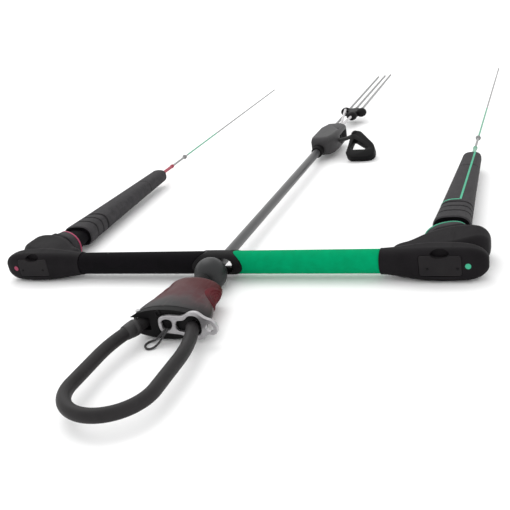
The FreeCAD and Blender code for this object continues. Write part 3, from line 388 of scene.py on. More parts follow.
def makeTubeFinish():
    # milky grey tube with fine lengthwise streaks
    material, tree, shader = newMaterial("depowerHose")
    streak = noiseNode(tree, stretchedCoordinates(tree, (1.0, 0.04, 1.0)).outputs[0], 380.0, 3)
    grain = placeGroup(tree, grainGroup, {"Patch Scale": 30.0, "Scuff Scale": 120.0})
    colour = mixColours(tree, streak, paint(32, 32, 34), paint(50, 50, 51))
    worn = mathNode(tree, "MULTIPLY", grain.outputs["Scuff"], 0.25)
    tree.links.new(mixColours(tree, worn, colour, paint(76, 76, 76)), shader.inputs["Base Color"])
    tree.links.new(rangeNode(tree, streak, 0.28, 0.42), shader.inputs["Roughness"])
    tree.links.new(bumpNode(tree, streak, 0.1, 0.0001), shader.inputs["Normal"])
    shader.inputs["Coat Weight"].default_value = 0.2
    shader.inputs["Coat Roughness"].default_value = 0.3
    return material


finishes["depowerHose"] = makeTubeFinish()


def ropeFinish(name, look):
    # braided rope; bands = (start, end, colour) along the rope, in millimetres from the bar
    material, tree, shader = newMaterial(name)
    centre = place(look["x"], 0, look.get("z", 0.0))
    braid = placeGroup(tree, braidGroup, {
        "Centre X": centre.x, "Centre Z": centre.z, "Pitch": look["pitch"], "Strands": look["strands"]})
    grain = placeGroup(tree, grainGroup, {"Patch Scale": 120.0, "Grain Scale": 2600.0})
    colour = mixColours(tree, grain.outputs["Patch"], look["dark"], look["light"])
    along = objectAxes(tree)["Y"]
    for start, end, band in look.get("bands", ()):
        after = mathNode(tree, "GREATER_THAN", along, place(0, start).y)
        before = mathNode(tree, "LESS_THAN", along, place(0, end).y)
        inside = mathNode(tree, "MULTIPLY", after, before)
        colour = mixColours(tree, inside, colour, band)
    # the gaps between the braid's strands are darkened toward grey: painted shade in the crevices
    shade = mathNode(tree, "MULTIPLY", braid.outputs["Gap"], 0.45)
    colour = mixColours(tree, shade, colour, paint(30, 30, 30))
    tree.links.new(colour, shader.inputs["Base Color"])
    tree.links.new(rangeNode(tree, grain.outputs["Patch"], 0.6, 0.8), shader.inputs["Roughness"])
    tree.links.new(bumpNode(tree, braid.outputs["Height"], 0.7, 0.0003), shader.inputs["Normal"])
    shader.inputs["Sheen Weight"].default_value = 0.2
    return material


greyRope = {"dark": paint(118, 118, 118), "light": paint(150, 150, 150), "pitch": 0.0045, "strands": 4.0}
greenRope = paint(84, 160, 128)
ropeLooks = {
    "leaderRight": {**greyRope, "x": 245},
    "leaderLeft": {**greyRope, "x": -245},
    "sleeveRight": {**greyRope, "x": 245, "dark": paint(96, 146, 124), "light": paint(126, 176, 152)},
    "sleeveLeft": {**greyRope, "x": -245, "dark": paint(140, 34, 56), "light": paint(172, 60, 80)},
    "lineRight": {**greyRope, "x": 245, "bands": ((436, 611, greenRope),)},
    "lineLeft": {**greyRope, "x": -245, "bands": ((446, 583, greenRope),)},
    "safety": {**greyRope, "x": -10.5},
    "frontLeft": {**greyRope, "x": 2.5},
    "frontRight": {**greyRope, "x": 14.6},
    "trimRope": {**greyRope, "x": 5, "z": 3, "dark": paint(176, 173, 174), "light": paint(202, 199, 200)},
    "leashCord": {**greyRope, "x": -9, "z": -9, "dark": paint(28, 27, 28), "light": paint(44, 42, 44)},
    "coreRope": {**greyRope, "x": 0},
    "toggleCord": {**greyRope, "x": 30, "dark": paint(20, 20, 20), "light": paint(34, 34, 34)},
}
for ropeName, ropeLook in ropeLooks.items():
    finishes[ropeName] = ropeFinish(ropeName, ropeLook)
print("finishes made:", len(finishes))


# ---- mesh helpers

def addPiece(name, mesh, finish, body, replaces=(), smooth=True):
    piece = bpy.data.objects.new(name, mesh)
    scene.collection.objects.link(piece)
    mesh.materials.clear()
    mesh.materials.append(finishes[finish])
    for face in mesh.polygons:
        face.use_smooth = smooth
    if body:
        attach(piece, body)
    if replaces:
        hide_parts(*replaces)
    return piece


def meshFromRings(name, rings, loop=False):
    # rings of equally many points, joined one to the next and capped unless they close on themselves
    mesh = bpy.data.meshes.new(name)
    build = bmesh.new()
    rows = [[build.verts.new(point) for point in ring] for ring in rings]
    count = len(rows[0])
    pairs = list(zip(rows, rows[1:]))
    if loop:
        pairs.append((rows[-1], rows[0]))
    for first, second in pairs:
        for index in range(count):
            after = (index + 1) % count
            build.faces.new((first[index], first[after], second[after], second[index]))
    if not loop:
        build.faces.new(rows[0])
        build.faces.new(rows[-1][::-1])
    bmesh.ops.remove_doubles(build, verts=build.verts, dist=1e-7)
    bmesh.ops.recalc_face_normals(build, faces=build.faces)
    build.to_mesh(mesh)
    build.free()
    return mesh


def superOval(halfA, halfB, power, angle):
    # point on an oval that grows squarer as power rises
    cosine, sine = math.cos(angle), math.sin(angle)
    reachA = halfA * math.copysign(abs(cosine) ** (2 / power), cosine)
    reachB = halfB * math.copysign(abs(sine) ** (2 / power), sine)
    return reachA, reachB


def blendValue(start, end, share):
    return start + (end - start) * share


def smoothShare(value, low, high):
    share = min(1.0, max(0.0, (value - low) / (high - low)))
    return share * share * (3 - 2 * share)


softenSizes = {"merge": 1e-6, "flatAngle": 0.6, "bevelAngle": 32, "segments": 2, "sharpAngle": 40}


def softenedCopy(node, finish, width):
    # the solid again, its sharp edges rounded as a moulding's are
    sizes = softenSizes
    piece = bpy.data.objects.new("soften", nodes[node].data.copy())
    scene.collection.objects.link(piece)
    build = bmesh.new()
    build.from_mesh(piece.data)
    bmesh.ops.remove_doubles(build, verts=build.verts, dist=sizes["merge"])
    bmesh.ops.dissolve_limit(build, angle_limit=math.radians(sizes["flatAngle"]), verts=build.verts,
                             edges=build.edges)
    build.to_mesh(piece.data)
    build.free()
    bevel = piece.modifiers.new("soften", "BEVEL")
    bevel.width = width
    bevel.segments = sizes["segments"]
    bevel.limit_method = "ANGLE"
    bevel.angle_limit = math.radians(sizes["bevelAngle"])
    bevel.harden_normals = False
    graph = bpy.context.evaluated_depsgraph_get()
    mesh = bpy.data.meshes.new_from_object(piece.evaluated_get(graph))
    body = nodes[node]["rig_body"]
    bpy.data.objects.remove(piece)
    made = addPiece(node + "_dressed", mesh, finish, body, replaces=(node,))
    made.data.shade_smooth()
    made.data.set_sharp_from_angle(angle=math.radians(sizes["sharpAngle"]))


# ---- cords: taut lines to the kite and the small leash loop

def ropeCurve(name, points, radius, finish, body, replaces=()):
    data = bpy.data.curves.new(name, "CURVE")
    data.dimensions = "3D"
    data.bevel_depth = radius
    data.bevel_resolution = 5
    data.use_fill_caps = True
    data.resolution_u = 12
    spline = data.splines.new("NURBS")
    spline.points.add(len(points) - 1)
    for target, point in zip(spline.points, points):
        target.co = (*point, 1.0)
    spline.order_u = 3
    spline.use_endpoint_u = True
    rope = bpy.data.objects.new(name, data)
    scene.collection.objects.link(rope)
    data.materials.append(finishes[finish])
    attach(rope, body)
    if replaces:
        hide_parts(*replaces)
    return rope


def knotMesh(name, centre, lineRadius, strand):
    # wraps of a strand round the line, drawn in at both ends
    rings = []
    turns, steps, sides = 2.5, 72, 10
    for step in range(steps + 1):
        share = step / steps
        angle = 2 * math.pi * turns * share
        swell = math.sin(math.pi * share) ** 0.5
        reach = lineRadius * 0.5 + (lineRadius * 0.5 + strand * 0.75) * swell
        middle = Vector((reach * math.cos(angle), strand * 3.6 * (share - 0.5), reach * math.sin(angle)))
        outward = Vector((math.cos(angle), 0, math.sin(angle)))
        ring = []
        for side in range(sides):
            turn = 2 * math.pi * side / sides
            ring.append(centre + middle + outward * (strand * math.cos(turn))
                        + Vector((0, strand * math.sin(turn), 0)))
        rings.append(ring)
    return meshFromRings(name, rings)


lineSizes = {
    "leaderStart": 341.0, "leaderKnot": 437.0, "leaderRadius": 1.7,
    "sleeveStart": 340.0, "sleeveEnd": 386.0, "sleeveRadius": 2.6,
    "steeringEnd": 935.0, "steeringRadius": 1.3, "frontRadius": 2.0,
}


def straightRoute(start, end):
    return [start, start.lerp(end, 0.5), end]


def makeSteeringLine(side):
    sizes = lineSizes
    sign = 1 if side == "right" else -1
    label = side.capitalize()
    body = side + "_float"
    x = 245.0 * sign
    start, knot = place(x, sizes["leaderStart"]), place(x, sizes["leaderKnot"])
    end = place(x, sizes["steeringEnd"])
    leader = ropeCurve("leader_" + side + "_rope", straightRoute(start, knot),
                       sizes["leaderRadius"] / 1000, "leader" + label, body,
                       ("leader_" + side,))
    knotPiece = addPiece("leader_knot_" + side, knotMesh("leader_knot", place(x, 435), 0.0017, 0.0013),
                         "leader" + label, body)
    line = ropeCurve("steering_line_" + side + "_rope", straightRoute(knot, end),
                     sizes["steeringRadius"] / 1000, "line" + label, body,
                     ("steering_line_" + side,))
    sleeve = ropeCurve("leader_sleeve_" + side + "_cover",
                       straightRoute(place(x, sizes["sleeveStart"]), place(x, sizes["sleeveEnd"])),
                       sizes["sleeveRadius"] / 1000, "sleeve" + label, body,
                       ("leader_sleeve_" + side,))


def makeFrontLine(name, finish, start, end, body):
    radius = lineSizes["frontRadius"] / 1000
    rope = ropeCurve(name + "_rope", straightRoute(start, end), radius, finish, body, (name,))


leashRoute = [(1.5, -148.4, -1.5), (-6, -150, -9), (-13, -147.5, -15.5), (-21, -148, -17.2),
              (-22, -156.5, -17.2), (-14.5, -163, -17.2), (-8, -157.5, -16.6), (-3, -152, -10.5),
              (4, -148.6, -1.5)]


def makeLeashLoop():
    points = [place(*point) for point in leashRoute]
    rope = ropeCurve("leash_cord_rope", points, 0.0011, "leashCord", "loop", ("leash_cord",))


for sideName in ("right", "left"):
    makeSteeringLine(sideName)
makeFrontLine("safety_line", "safety", place(-10.5, 493), place(-10.5, 968), "depower_line")
makeFrontLine("front_line_left", "frontLeft", place(2, 670), place(3, 972), "front_lines")
makeFrontLine("front_line_right", "frontRight", place(15, 664), place(14.3, 977), "front_lines")
makeLeashLoop()
print("cords laid")


# ---- foam grips

gripSizes = {"radius": 13.0, "bore": 9.55, "end": 182.8, "edgeX": 30.2, "edgeZ": 15.7, "rounding": 0.8,
             "around": 96, "along": 48}


def makeGrip(side):
    sizes = gripSizes
    sign = 1 if side == "right" else -1
    radius, bore, rounding = sizes["radius"], sizes["bore"], sizes["rounding"]

    def edgeAt(z):
        return sizes["edgeX"] * math.sqrt(max(0.0, 1 - (z / sizes["edgeZ"]) ** 2))

    profile = [(bore, 0.0, 0.0), (radius - rounding, 0.0, 0.0)]
    corner = [(radius - rounding * (1 - math.sin(turn)), rounding * (1 - math.cos(turn)))
              for turn in (math.pi / 2 * step / 4 for step in range(5))]
    profile += [(reach, 0.0, offset) for reach, offset in corner[1:]]
    for step in range(1, sizes["along"]):
        profile.append((radius, step / sizes["along"], 0.0))
    profile += [(reach, 1.0, -offset) for reach, offset in reversed(corner)]
    profile.append((bore, 1.0, 0.0))
    rings = []
    for reach, share, offset in profile:
        ring = []
        for index in range(sizes["around"]):
            angle = 2 * math.pi * index / sizes["around"]
            z = reach * math.sin(angle)
            x = blendValue(edgeAt(z), sizes["end"], share) + offset
            ring.append(place(sign * x, reach * math.cos(angle), z))
        rings.append(ring)
    mesh = meshFromRings("grip_" + side + "_foam", rings, loop=True)
    finish = "greenFoam" if side == "right" else "blackFoam"
    grip = addPiece("grip_" + side + "_foam", mesh, finish, "bar", ("grip_" + side,))


for sideName in ("right", "left"):
    makeGrip(sideName)
print("grips done")


# ---- floats: slanted base, recess in black foam as painted shade, bellows and the long tapered body

floatSizes = {
    "x": 245.0, "collarX": 247.0, "collarY": 53.0, "turn": 25.5,
    "baseHalfX": 24.6, "baseHalfZ": 16.0, "baseLength": 13.5, "recess": 5.0,
    "bellowsY": 86.0, "taperStart": 92.0, "taperEnd": 330.0, "startHalfX": 21.0, "startHalfZ": 14.2,
    "tipHalfX": 12.6, "tipHalfZ": 10.0, "tipY": 342.0, "tipRound": 9.0,
    "grooves": ((105.5, 3.0, 1.7), (120.5, 3.0, 1.6), (134.5, 4.2, 2.6), (277.0, 1.3, 0.9)),
    "around": 96, "stripeX": 4.5, "stripeWidth": 2.4, "stripeY": 142.0,
    "ringStart": 10.4, "ringWidth": 1.9,
}


def floatHalf(y):
    sizes = floatSizes
    share = max(0.0, (y - sizes["taperStart"]) / (sizes["taperEnd"] - sizes["taperStart"])) ** 0.85
    halfX = blendValue(sizes["startHalfX"], sizes["tipHalfX"], min(share, 1.0))
    halfZ = blendValue(sizes["startHalfZ"], sizes["tipHalfZ"], min(share, 1.0))
    inset = 0.0
    for centre, width, depth in sizes["grooves"]:
        away = abs(y - centre) / (width / 2)
        if away < 1:
            inset = max(inset, depth * (1 - away ** 4))
    past = y - (sizes["tipY"] - sizes["tipRound"])
    if past > 0:
        inset += sizes["tipRound"] - math.sqrt(max(0.0, sizes["tipRound"] ** 2 - past ** 2))
    edge = 1.2 * (1 - smoothShare(y, sizes["bellowsY"], sizes["bellowsY"] + 1.6))
    return halfX - inset - edge, halfZ - inset - edge


def floatPoint(y, angle, sign, proud=0.0):
    halfX, halfZ = floatHalf(y)
    reachX, reachZ = superOval(halfX + proud, halfZ + proud, 2.7, angle)
    return place(sign * (floatSizes["x"] + reachX), y, reachZ)


def basePoint(offset, inset, angle, sign, proud=0.0):
    sizes = floatSizes
    turn = math.radians(sizes["turn"])
    centreX = sizes["collarX"] - math.sin(turn) * offset
    centreY = sizes["collarY"] + math.cos(turn) * offset
    grow = proud - inset
    reachA, reachZ = superOval(sizes["baseHalfX"] + grow, sizes["baseHalfZ"] + grow, 2.3, angle)
    return place(sign * (centreX + math.cos(turn) * reachA), centreY + math.sin(turn) * reachA, reachZ)


def floatRows():
    # stations along the float, closer together where its outline turns quickly
    sizes = floatSizes
    rows = [sizes["bellowsY"] + step * 0.4 for step in range(6)]
    rows += [sizes["bellowsY"] + 4 + step * 4 for step in range(60)]
    for centre, width, depth in sizes["grooves"]:
        rows += [centre + width * (step / 12 - 0.5) for step in range(13)]
    rows += [sizes["tipY"] - sizes["tipRound"] * (1 - math.sin(math.pi / 2 * step / 10))
             for step in range(10)]
    rows = sorted(round(row, 3) for row in rows if row < sizes["tipY"])
    return [row for index, row in enumerate(rows) if index == 0 or row - rows[index - 1] > 0.05]


def makeFloat(side):
    sizes = floatSizes
    sign = 1 if side == "right" else -1
    angles = [2 * math.pi * index / sizes["around"] for index in range(sizes["around"])]
    rings = []
    end = sizes["baseLength"]
    for offset, inset in ((0.4, 1.4), (0.7, 0.5), (1.6, 0.0), (end * 0.35, -0.3), (end * 0.7, -0.1),
                          (end - 1.0, 0.3), (end - 0.3, 1.0), (end, 2.2), (end + 0.1, sizes["recess"])):
        rings.append([basePoint(offset, inset, angle, sign) for angle in angles])
    last = [basePoint(end + 0.1, sizes["recess"], angle, sign) for angle in angles]
    recessFirst = len(rings) - 2
    first = floatRows()[0]
    halfX, halfZ = sizes["startHalfX"] - sizes["recess"], sizes["startHalfZ"] - sizes["recess"]
    core = []
    for angle in angles:
        reachX, reachZ = superOval(halfX, halfZ, 2.5, angle)
        core.append(place(sign * (sizes["x"] + reachX), first, reachZ))
    for share in (0.25, 0.5, 0.75, 1.0):
        rings.append([start.lerp(finish, share) for start, finish in zip(last, core)])
    recessLast = len(rings)
    for y in floatRows():
        rings.append([floatPoint(y, angle, sign) for angle in angles])
    mesh = meshFromRings("float_" + side + "_skin", rings)
    covered = tuple(name + side for name in ("float_neck_", "float_", "float_tip_"))
    skin = addPiece("float_" + side + "_skin", mesh, "floatFoam", None, covered)
    # the recess faces take black foam: painted shade in the recess between base and bellows
    mesh.materials.append(finishes["blackFoam"])
    for face in mesh.polygons[recessFirst * sizes["around"]:recessLast * sizes["around"]]:
        face.material_index = 1
    mesh.set_sharp_from_angle(angle=math.radians(50))
    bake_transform(skin)


def makeBaseRing(side):
    # thin coloured ring let into the far edge of the float's base
    sizes = floatSizes
    sign = 1 if side == "right" else -1
    angles = [2 * math.pi * index / sizes["around"] for index in range(sizes["around"])]
    start, width = sizes["ringStart"], sizes["ringWidth"]
    section = ((start, -0.4), (start, 0.15), (start + 0.25, 0.4), (start + width - 0.25, 0.4),
               (start + width, 0.15), (start + width, -0.4))
    rings = [[basePoint(offset, 0.0, angle, sign, proud) for angle in angles] for offset, proud in section]
    mesh = meshFromRings("float_ring_" + side + "_band", rings, loop=True)
    finish, slot = ("greenTrim", "green_plastic") if side == "right" else ("redTrim", "red_plastic")
    addPiece("float_ring_" + side + "_band", mesh, finish, "bar", ("float_ring_" + side,))


def ribbonMesh(name, rows):
    # a thin strip from rows of (left top, right top, left foot, right foot)
    rings = [[leftTop, rightTop, rightFoot, leftFoot] for leftTop, rightTop, leftFoot, rightFoot in rows]
    return meshFromRings(name, rings)


def makeStripe():
    # inlay on the right float: lengthwise over the top, then down its inner side
    sizes = floatSizes
    half = sizes["stripeWidth"] / 2

    def topAngle(y, x):
        halfX, halfZ = floatHalf(y)
        return math.acos(max(-1.0, min(1.0, math.copysign(abs(x / halfX) ** 1.35, x))))

    rows = []
    for y in [row for row in floatRows() if sizes["stripeY"] - half <= row <= sizes["tipY"] - 1.5]:
        left, right = topAngle(y, sizes["stripeX"] - half), topAngle(y, sizes["stripeX"] + half)
        rows.append([floatPoint(y, angle, 1, proud) for proud in (0.25, -0.6) for angle in (left, right)])
    lengthwise = ribbonMesh("stripe_lengthwise", rows)
    rows = []
    start = topAngle(sizes["stripeY"], sizes["stripeX"] - half)
    for step in range(41):
        angle = blendValue(start, math.pi * 1.02, step / 40)
        rows.append([floatPoint(sizes["stripeY"] + offset, angle, 1, proud)
                     for proud in (0.25, -0.6) for offset in (-half, half)])
    crosswise = ribbonMesh("stripe_crosswise", rows)
    build = bmesh.new()
    build.from_mesh(lengthwise)
    build.from_mesh(crosswise)
    mesh = bpy.data.meshes.new("float_stripe_inlay")
    build.to_mesh(mesh)
    build.free()
    addPiece("float_stripe_inlay", mesh, "greenTrim", "right_float",
             ("float_stripe_right",), smooth=False)


for sideName in ("right", "left"):
    makeFloat(sideName)
    makeBaseRing(sideName)
makeStripe()
print("floats done")


# ---- push-away release

releaseSizes = {
    "top": 67.0, "bottom": 135.0, "halfX": 30.5, "flare": 41.0, "halfZ": 16.0, "wall": 2.6,
    "topRound": 5.0, "neckHole": 13.2, "around": 96,
    "padY": 92.0, "padHalfY": 18.0, "padHalfZ": 11.5, "padHeight": 1.5, "padRibs": 5,
}


def sleeveHalf(y):
    sizes = releaseSizes
    share = max(0.0, (y - sizes["top"]) / (sizes["bottom"] - sizes["top"]))
    flare = smoothShare(share, 0.28, 0.9)
    return blendValue(sizes["halfX"], sizes["flare"], flare), sizes["halfZ"] + 0.4 * share


def makeReleaseSleeve():
    sizes = releaseSizes
    outer, inner = [], []
    top, bottom, wall = sizes["top"], sizes["bottom"], sizes["wall"]
    outer.append((top, sizes["neckHole"], sizes["neckHole"]))
    for step in range(7):
        turn = math.pi / 2 * step / 6
        y = top + 0.2 + sizes["topRound"] * (1 - math.cos(turn))
        inset = sizes["topRound"] * (1 - math.sin(turn)) * 0.8
        halfX, halfZ = sleeveHalf(y)
        outer.append((y, halfX - inset, max(halfZ - inset, sizes["neckHole"] + 0.1)))
    for step in range(1, 25):
        y = blendValue(top + sizes["topRound"] + 0.2, bottom - 1.0, step / 24)
        outer.append((y, *sleeveHalf(y)))
    halfX, halfZ = sleeveHalf(bottom)
    outer += [(bottom - 0.3, halfX - 0.2, halfZ - 0.2), (bottom, halfX - 0.9, halfZ - 0.9)]
    inner.append((bottom, halfX - wall + 0.4, halfZ - wall + 0.4))
    for step in range(13):
        y = blendValue(bottom - 1, top + wall, step / 12)
        halfX, halfZ = sleeveHalf(y)
        inner.append((y, halfX - wall, halfZ - wall))
    inner.append((top + wall, sizes["neckHole"], sizes["neckHole"]))
    rings = []
    for y, halfX, halfZ in outer + inner:
        ring = []
        for index in range(sizes["around"]):
            angle = 2 * math.pi * index / sizes["around"]
            ring.append(place(halfX * math.cos(angle), -y, halfZ * math.sin(angle)))
        rings.append(ring)
    mesh = meshFromRings("release_sleeve_shell", rings, loop=True)
    addPiece("release_sleeve_shell", mesh, "releaseShell", "release_grip",
             ("release_sleeve",))
    mesh.set_sharp_from_angle(angle=math.radians(60))


def makeThumbPad(side):
    # oval pad with ribs that follow its edge, laid on the side of the release
    sizes = releaseSizes
    sign = 1 if side == "right" else -1
    around, steps = 72, 36

    def padPoint(share, angle, height):
        y = sizes["padY"] + sizes["padHalfY"] * share * math.cos(angle)
        z = sizes["padHalfZ"] * share * math.sin(angle)
        halfX, halfZ = sleeveHalf(y)
        x = halfX * math.sqrt(1 - (z / halfZ) ** 2)
        return place(sign * (x + height), -y, z)

    rings = []
    for step in range(steps + 1):
        share = max(0.012, step / steps)
        edge = 1 - smoothShare(share, 0.88, 1.0)
        rib = 0.5 + 0.5 * math.cos(2 * math.pi * sizes["padRibs"] * share)
        height = 0.1 + sizes["padHeight"] * edge * (0.62 + 0.38 * rib)
        rings.append([padPoint(share, 2 * math.pi * index / around, height) for index in range(around)])
    for share in (0.98, 0.6, 0.2, 0.012):
        rings.append([padPoint(share, 2 * math.pi * index / around, -0.5) for index in range(around)])
    mesh = meshFromRings("thumb_pad_" + side + "_ribbed", rings)
    addPiece("thumb_pad_" + side + "_ribbed", mesh, "padRubber", "release_grip",
             ("thumb_pad_" + side,))


bootSizes = {"startX": -30.45, "startY": -148.6, "directionX": -0.368, "directionY": -0.930,
             "radius": 8.4, "endRadius": 7.3, "bore": 6.4}


def makeBoot():
    # short rubber boot at the top of the loop's hinged leg
    sizes = bootSizes
    start = place(sizes["startX"], sizes["startY"])
    down = Vector((sizes["directionX"], sizes["directionY"], 0)).normalized()
    across = Vector((down.y, -down.x, 0))
    profile = [(0.0, sizes["bore"]), (0.0, sizes["radius"] - 0.9), (0.25, sizes["radius"] - 0.3),
               (0.9, sizes["radius"]), (4.0, sizes["radius"]), (4.6, sizes["radius"] - 0.6),
               (5.4, sizes["radius"] - 0.6), (6.0, sizes["radius"] - 0.1), (12.5, sizes["endRadius"] + 0.2),
               (14.4, sizes["endRadius"]), (15.0, sizes["endRadius"] - 0.5), (15.0, sizes["bore"])]
    rings = []
    for along, reach in profile:
        ring = []
        for index in range(64):
            angle = 2 * math.pi * index / 64
            ring.append(start + down * (along / 1000) + across * (reach / 1000 * math.cos(angle))
                        + Vector((0, 0, reach / 1000 * math.sin(angle))))
        rings.append(ring)
    mesh = meshFromRings("loop_boot_collar", rings, loop=True)
    addPiece("loop_boot_collar", mesh, "bootRubber", "loop", ("loop_boot",))
    mesh.set_sharp_from_angle(angle=math.radians(50))


def makeEyelet():
    # small oval eye beside the latch plate
    strand = 0.0009
    rings = []
    for step in range(48):
        turn = 2 * math.pi * step / 48
        outward = Vector((math.cos(turn) * 0.8, 0, math.sin(turn))).normalized()
        middle = place(-6.5 + 2.3 * math.cos(turn), -143.4, 11.6 + 3.1 * math.sin(turn))
        ring = []
        for side in range(12):
            angle = 2 * math.pi * side / 12
            ring.append(middle + outward * (strand * math.cos(angle))
                        + Vector((0, strand * math.sin(angle), 0)))
        rings.append(ring)
    addPiece("release_eyelet", meshFromRings("release_eyelet", rings, loop=True), "blackPlastic", "swivel")


makeReleaseSleeve()
for sideName in ("right", "left"):
    makeThumbPad(sideName)
makeBoot()
makeEyelet()
print("release done")


# ---- trim rope between the cleat and the spreader

trimSizes = {"radius": 2.5, "legRadius": 2.2}


def makeTrimRope():
    fork = place(5, 552, 3)
    ropeCurve("trim_rope_stem", straightRoute(place(5, 482, 3), fork), trimSizes["radius"] / 1000,
              "trimRope", "front_lines", ("trim_rope",))
    leftFork = [place(4.2, 545, 3), fork, place(-4, 606, 4.3), place(-12, 660.5, 5.6)]
    rightFork = [place(5.8, 545, 3), fork, place(5.6, 590, 1.5), place(5.9, 624, 0.4)]
    for name, route in (("trim_rope_fork_left", leftFork), ("trim_rope_fork_right", rightFork)):
        ropeCurve(name, route, trimSizes["legRadius"] / 1000, "trimRope", "front_lines")


makeTrimRope()


# ---- repeated small parts by Geometry Nodes

def newTree(name, inputs):
    tree = bpy.data.node_groups.new(name, "GeometryNodeTree")
    tree.interface.new_socket("Geometry", in_out="INPUT", socket_type="NodeSocketGeometry")
    identifiers = {}
    for label, kind, value in inputs:
        socket = tree.interface.new_socket(label, in_out="INPUT", socket_type=kind)
        if value is not None:
            socket.default_value = value
        identifiers[label] = socket.identifier
    tree.interface.new_socket("Geometry", in_out="OUTPUT", socket_type="NodeSocketGeometry")
    return tree, identifiers


def endTree(tree, source, points, copy, smooth):
    # a copy on every point, made real, in the material that the tree is given
    add, link = tree.nodes.new, tree.links.new
    copies = add("GeometryNodeInstanceOnPoints")
    link(points, copies.inputs["Points"])
    link(copy, copies.inputs["Instance"])
    real = add("GeometryNodeRealizeInstances")
    link(copies.outputs["Instances"], real.inputs["Geometry"])
    made = real.outputs["Geometry"]
    if smooth:
        shade = add("GeometryNodeSetShadeSmooth")
        link(made, shade.inputs["Geometry"])
        made = shade.outputs["Geometry"]
    coloured = add("GeometryNodeSetMaterial")
    link(made, coloured.inputs["Geometry"])
    link(source.outputs["Material"], coloured.inputs["Material"])
    link(coloured.outputs["Geometry"], add("NodeGroupOutput").inputs["Geometry"])


def makeTurnsTree():
    # a row of round turns along Y, as whipping twine lies on a rope
    tree, names = newTree("whippingTurns", [
        ("Start", "NodeSocketVector", None), ("Spacing", "NodeSocketFloat", 0.0008),
        ("Count", "NodeSocketInt", 8), ("Radius", "NodeSocketFloat", 0.003),
        ("Thread", "NodeSocketFloat", 0.0004), ("Material", "NodeSocketMaterial", None)])
    add, link = tree.nodes.new, tree.links.new
    source = add("NodeGroupInput")
    step = add("ShaderNodeCombineXYZ")
    link(source.outputs["Spacing"], step.inputs["Y"])
    row = add("GeometryNodeMeshLine")
    link(source.outputs["Count"], row.inputs["Count"])
    link(source.outputs["Start"], row.inputs["Start Location"])
    link(step.outputs[0], row.inputs["Offset"])
    circle = add("GeometryNodeCurvePrimitiveCircle")
    circle.inputs["Resolution"].default_value = 28
    link(source.outputs["Radius"], circle.inputs["Radius"])
    upright = add("GeometryNodeTransform")
    upright.inputs["Rotation"].default_value = (math.pi / 2, 0, 0)
    link(circle.outputs["Curve"], upright.inputs["Geometry"])
    thread = add("GeometryNodeCurvePrimitiveCircle")
    thread.inputs["Resolution"].default_value = 8
    link(source.outputs["Thread"], thread.inputs["Radius"])
    solid = add("GeometryNodeCurveToMesh")
    link(upright.outputs["Geometry"], solid.inputs["Curve"])
    link(thread.outputs["Curve"], solid.inputs["Profile Curve"])
    endTree(tree, source, row.outputs["Mesh"], solid.outputs["Mesh"], smooth=True)
    return tree, names


def makeScrewTree():
    # small domed screw heads on the points of the piece, facing out of the front
    tree, names = newTree("screwHeads", [
        ("Radius", "NodeSocketFloat", 0.0013), ("Height", "NodeSocketFloat", 0.0006),
        ("Material", "NodeSocketMaterial", None)])
    add, link = tree.nodes.new, tree.links.new
    source = add("NodeGroupInput")
    head = add("GeometryNodeMeshCone")
    head.inputs["Vertices"].default_value = 24
    link(source.outputs["Radius"], head.inputs["Radius Bottom"])
    top = add("ShaderNodeMath")
    top.operation = "MULTIPLY"
    top.inputs[1].default_value = 0.8
    link(source.outputs["Radius"], top.inputs[0])
    link(top.outputs[0], head.inputs["Radius Top"])
    link(source.outputs["Height"], head.inputs["Depth"])
    facing = add("GeometryNodeTransform")
    facing.inputs["Rotation"].default_value = (math.pi / 2, 0, 0)
    link(head.outputs["Mesh"], facing.inputs["Geometry"])
    endTree(tree, source, source.outputs["Geometry"], facing.outputs["Geometry"], smooth=False)
    return tree, names


def growPiece(name, treeAndNames, values, finish, body, points=((0, 0, 0),), smooth=True):
    # runs a node tree on a few points and keeps the plain mesh it gives
    tree, names = treeAndNames
    seed = bpy.data.meshes.new(name + "_seed")
    seed.from_pydata([tuple(point) for point in points], [], [])
    carrier = bpy.data.objects.new(name + "_seed", seed)
    scene.collection.objects.link(carrier)
    modifier = carrier.modifiers.new("grow", "NODES")
    modifier.node_group = tree
    for label, value in values.items():
        modifier[names[label]] = value
    modifier[names["Material"]] = finishes[finish]
    graph = bpy.context.evaluated_depsgraph_get()
    mesh = bpy.data.meshes.new_from_object(carrier.evaluated_get(graph))
    carrier.modifiers.remove(modifier)
    bpy.data.objects.remove(carrier)
    return addPiece(name, mesh, finish, body, smooth=smooth)


turnsTree = makeTurnsTree()
screwTree = makeScrewTree()
whippings = {
    # name: (x, y, z, radius, count, finish, body, slot)
    "sleeve_whipping_right": (245, 380.5, 0, 2.7, 7, "sleeveRight", "right_float", "rope_green"),
    "sleeve_whipping_left": (-245, 380.5, 0, 2.7, 7, "sleeveLeft", "left_float", "rope_red"),
    "trim_whipping": (5, 541, 3, 2.75, 9, "leashCord", "front_lines", "rope_black"),
    "front_whipping_left": (2.2, 684, 0, 2.1, 8, "coreRope", "front_lines", "rope_grey"),
    "front_whipping_right": (14.9, 678, 0, 2.1, 8, "coreRope", "front_lines", "rope_grey"),
}
for whippingName, (x, y, z, radius, count, finish, body, slot) in whippings.items():
    growPiece(whippingName, turnsTree, {
        "Start": place(x, y, z), "Spacing": 0.0008, "Count": count, "Radius": radius / 1000,
        "Thread": 0.0004}, finish, body)
for sideName, sideSign in (("right", 1), ("left", -1)):
    growPiece("panel_screws_" + sideName, screwTree, {"Radius": 0.0014, "Height": 0.0007}, "blackPlastic",
              sideName + "_adjuster",
              points=[place(sideSign * x, -17.5, -1.3) for x in (232.3, 262.0)], smooth=False)
print("small parts grown")


# ---- solids that are shown as they are, and the ones rounded at their edges

for nodeName, softFinish, width in (
        ("cleat_housing", "cleatPlastic", 0.0006), ("toggle_handle", "toggleRubber", 0.0016),
        ("spreader_web", "blackPlastic", 0.0008), ("cleat_jaw", "blackPlastic", 0.0003)):
    softenedCopy(nodeName, softFinish, width)

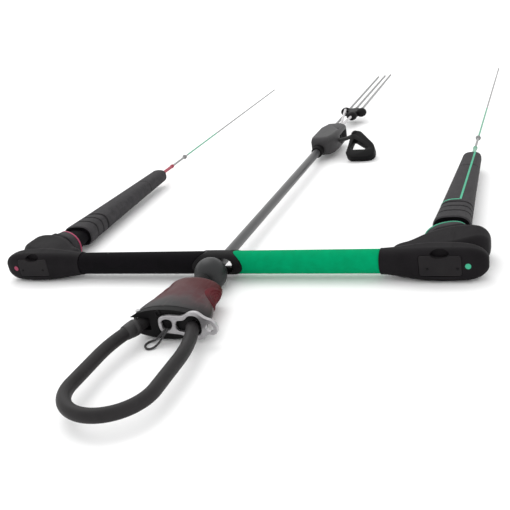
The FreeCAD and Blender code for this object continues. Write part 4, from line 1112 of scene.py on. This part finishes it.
nodeFinishes = {
    "bar_tube_left": "aluminium", "bar_tube_right": "aluminium", "centre_insert": "blackPlastic",
    "bar_end_left": "endPlastic", "bar_end_right": "endPlastic", "adjuster_left": "panelPlastic",
    "adjuster_right": "panelPlastic", "marker_left": "redTrim", "marker_right": "greenTrim",
    "depower_tube": "depowerHose", "core_rope": "coreRope", "swivel_ball": "ballPlastic",
    "swivel_shaft": "springSteel", "swivel_neck": "blackPlastic", "swivel_bearing": "springSteel",
    "release_core": "blackPlastic", "release_spring": "springSteel", "anchor_pin": "springSteel",
    "catch_pin": "springSteel", "loop_tube": "loopRubber", "loop_plate": "brushedSteel",
    "cleat_pin": "springSteel", "cleat_collar": "blackPlastic", "toggle_cord": "toggleCord",
    "toggle_ball": "toggleRubber", "spreader_beads": "blackPlastic",
}
for nodeName, finishName in nodeFinishes.items():
    mesh = nodes[nodeName].data
    mesh.materials.clear()
    mesh.materials.append(finishes[finishName])
leftOver = [name for name, item in nodes.items() if not item.hide_render and name not in nodeFinishes]
print("nodes without a finish:", leftOver)


# ---- floor and light

studioSizes = {"floor": 24.0, "worldStrength": 1.2, "keyStrength": 0.7, "keyAngle": 38.0}


def makeStudio():
    floorMesh = bpy.data.meshes.new("floor")
    reach = studioSizes["floor"] / 2
    floorMesh.from_pydata([(-reach, -reach, 0), (reach, -reach, 0), (reach, reach, 0), (-reach, reach, 0)],
                          [], [(0, 1, 2, 3)])
    floor = bpy.data.objects.new("floor", floorMesh)
    scene.collection.objects.link(floor)
    material, tree, shader = newMaterial("floorPaper")
    shader.inputs["Base Color"].default_value = (0.95, 0.95, 0.95, 1)
    shader.inputs["Roughness"].default_value = 0.9
    shader.inputs["Specular IOR Level"].default_value = 0.1
    floorMesh.materials.append(material)
    world = bpy.data.worlds.new("studio")
    scene.world = world
    world.use_nodes = True
    backdrop = world.node_tree.nodes["Background"]
    backdrop.inputs["Color"].default_value = (1, 1, 1, 1)
    backdrop.inputs["Strength"].default_value = studioSizes["worldStrength"]
    key = bpy.data.lights.new("key", "SUN")
    key.energy = studioSizes["keyStrength"]
    key.angle = math.radians(studioSizes["keyAngle"])
    lamp = bpy.data.objects.new("key", key)
    lamp.rotation_euler = Vector((0.45, -0.55, -1.0)).to_track_quat("-Z", "Y").to_euler()
    scene.collection.objects.link(lamp)


makeStudio()
print("studio lit")
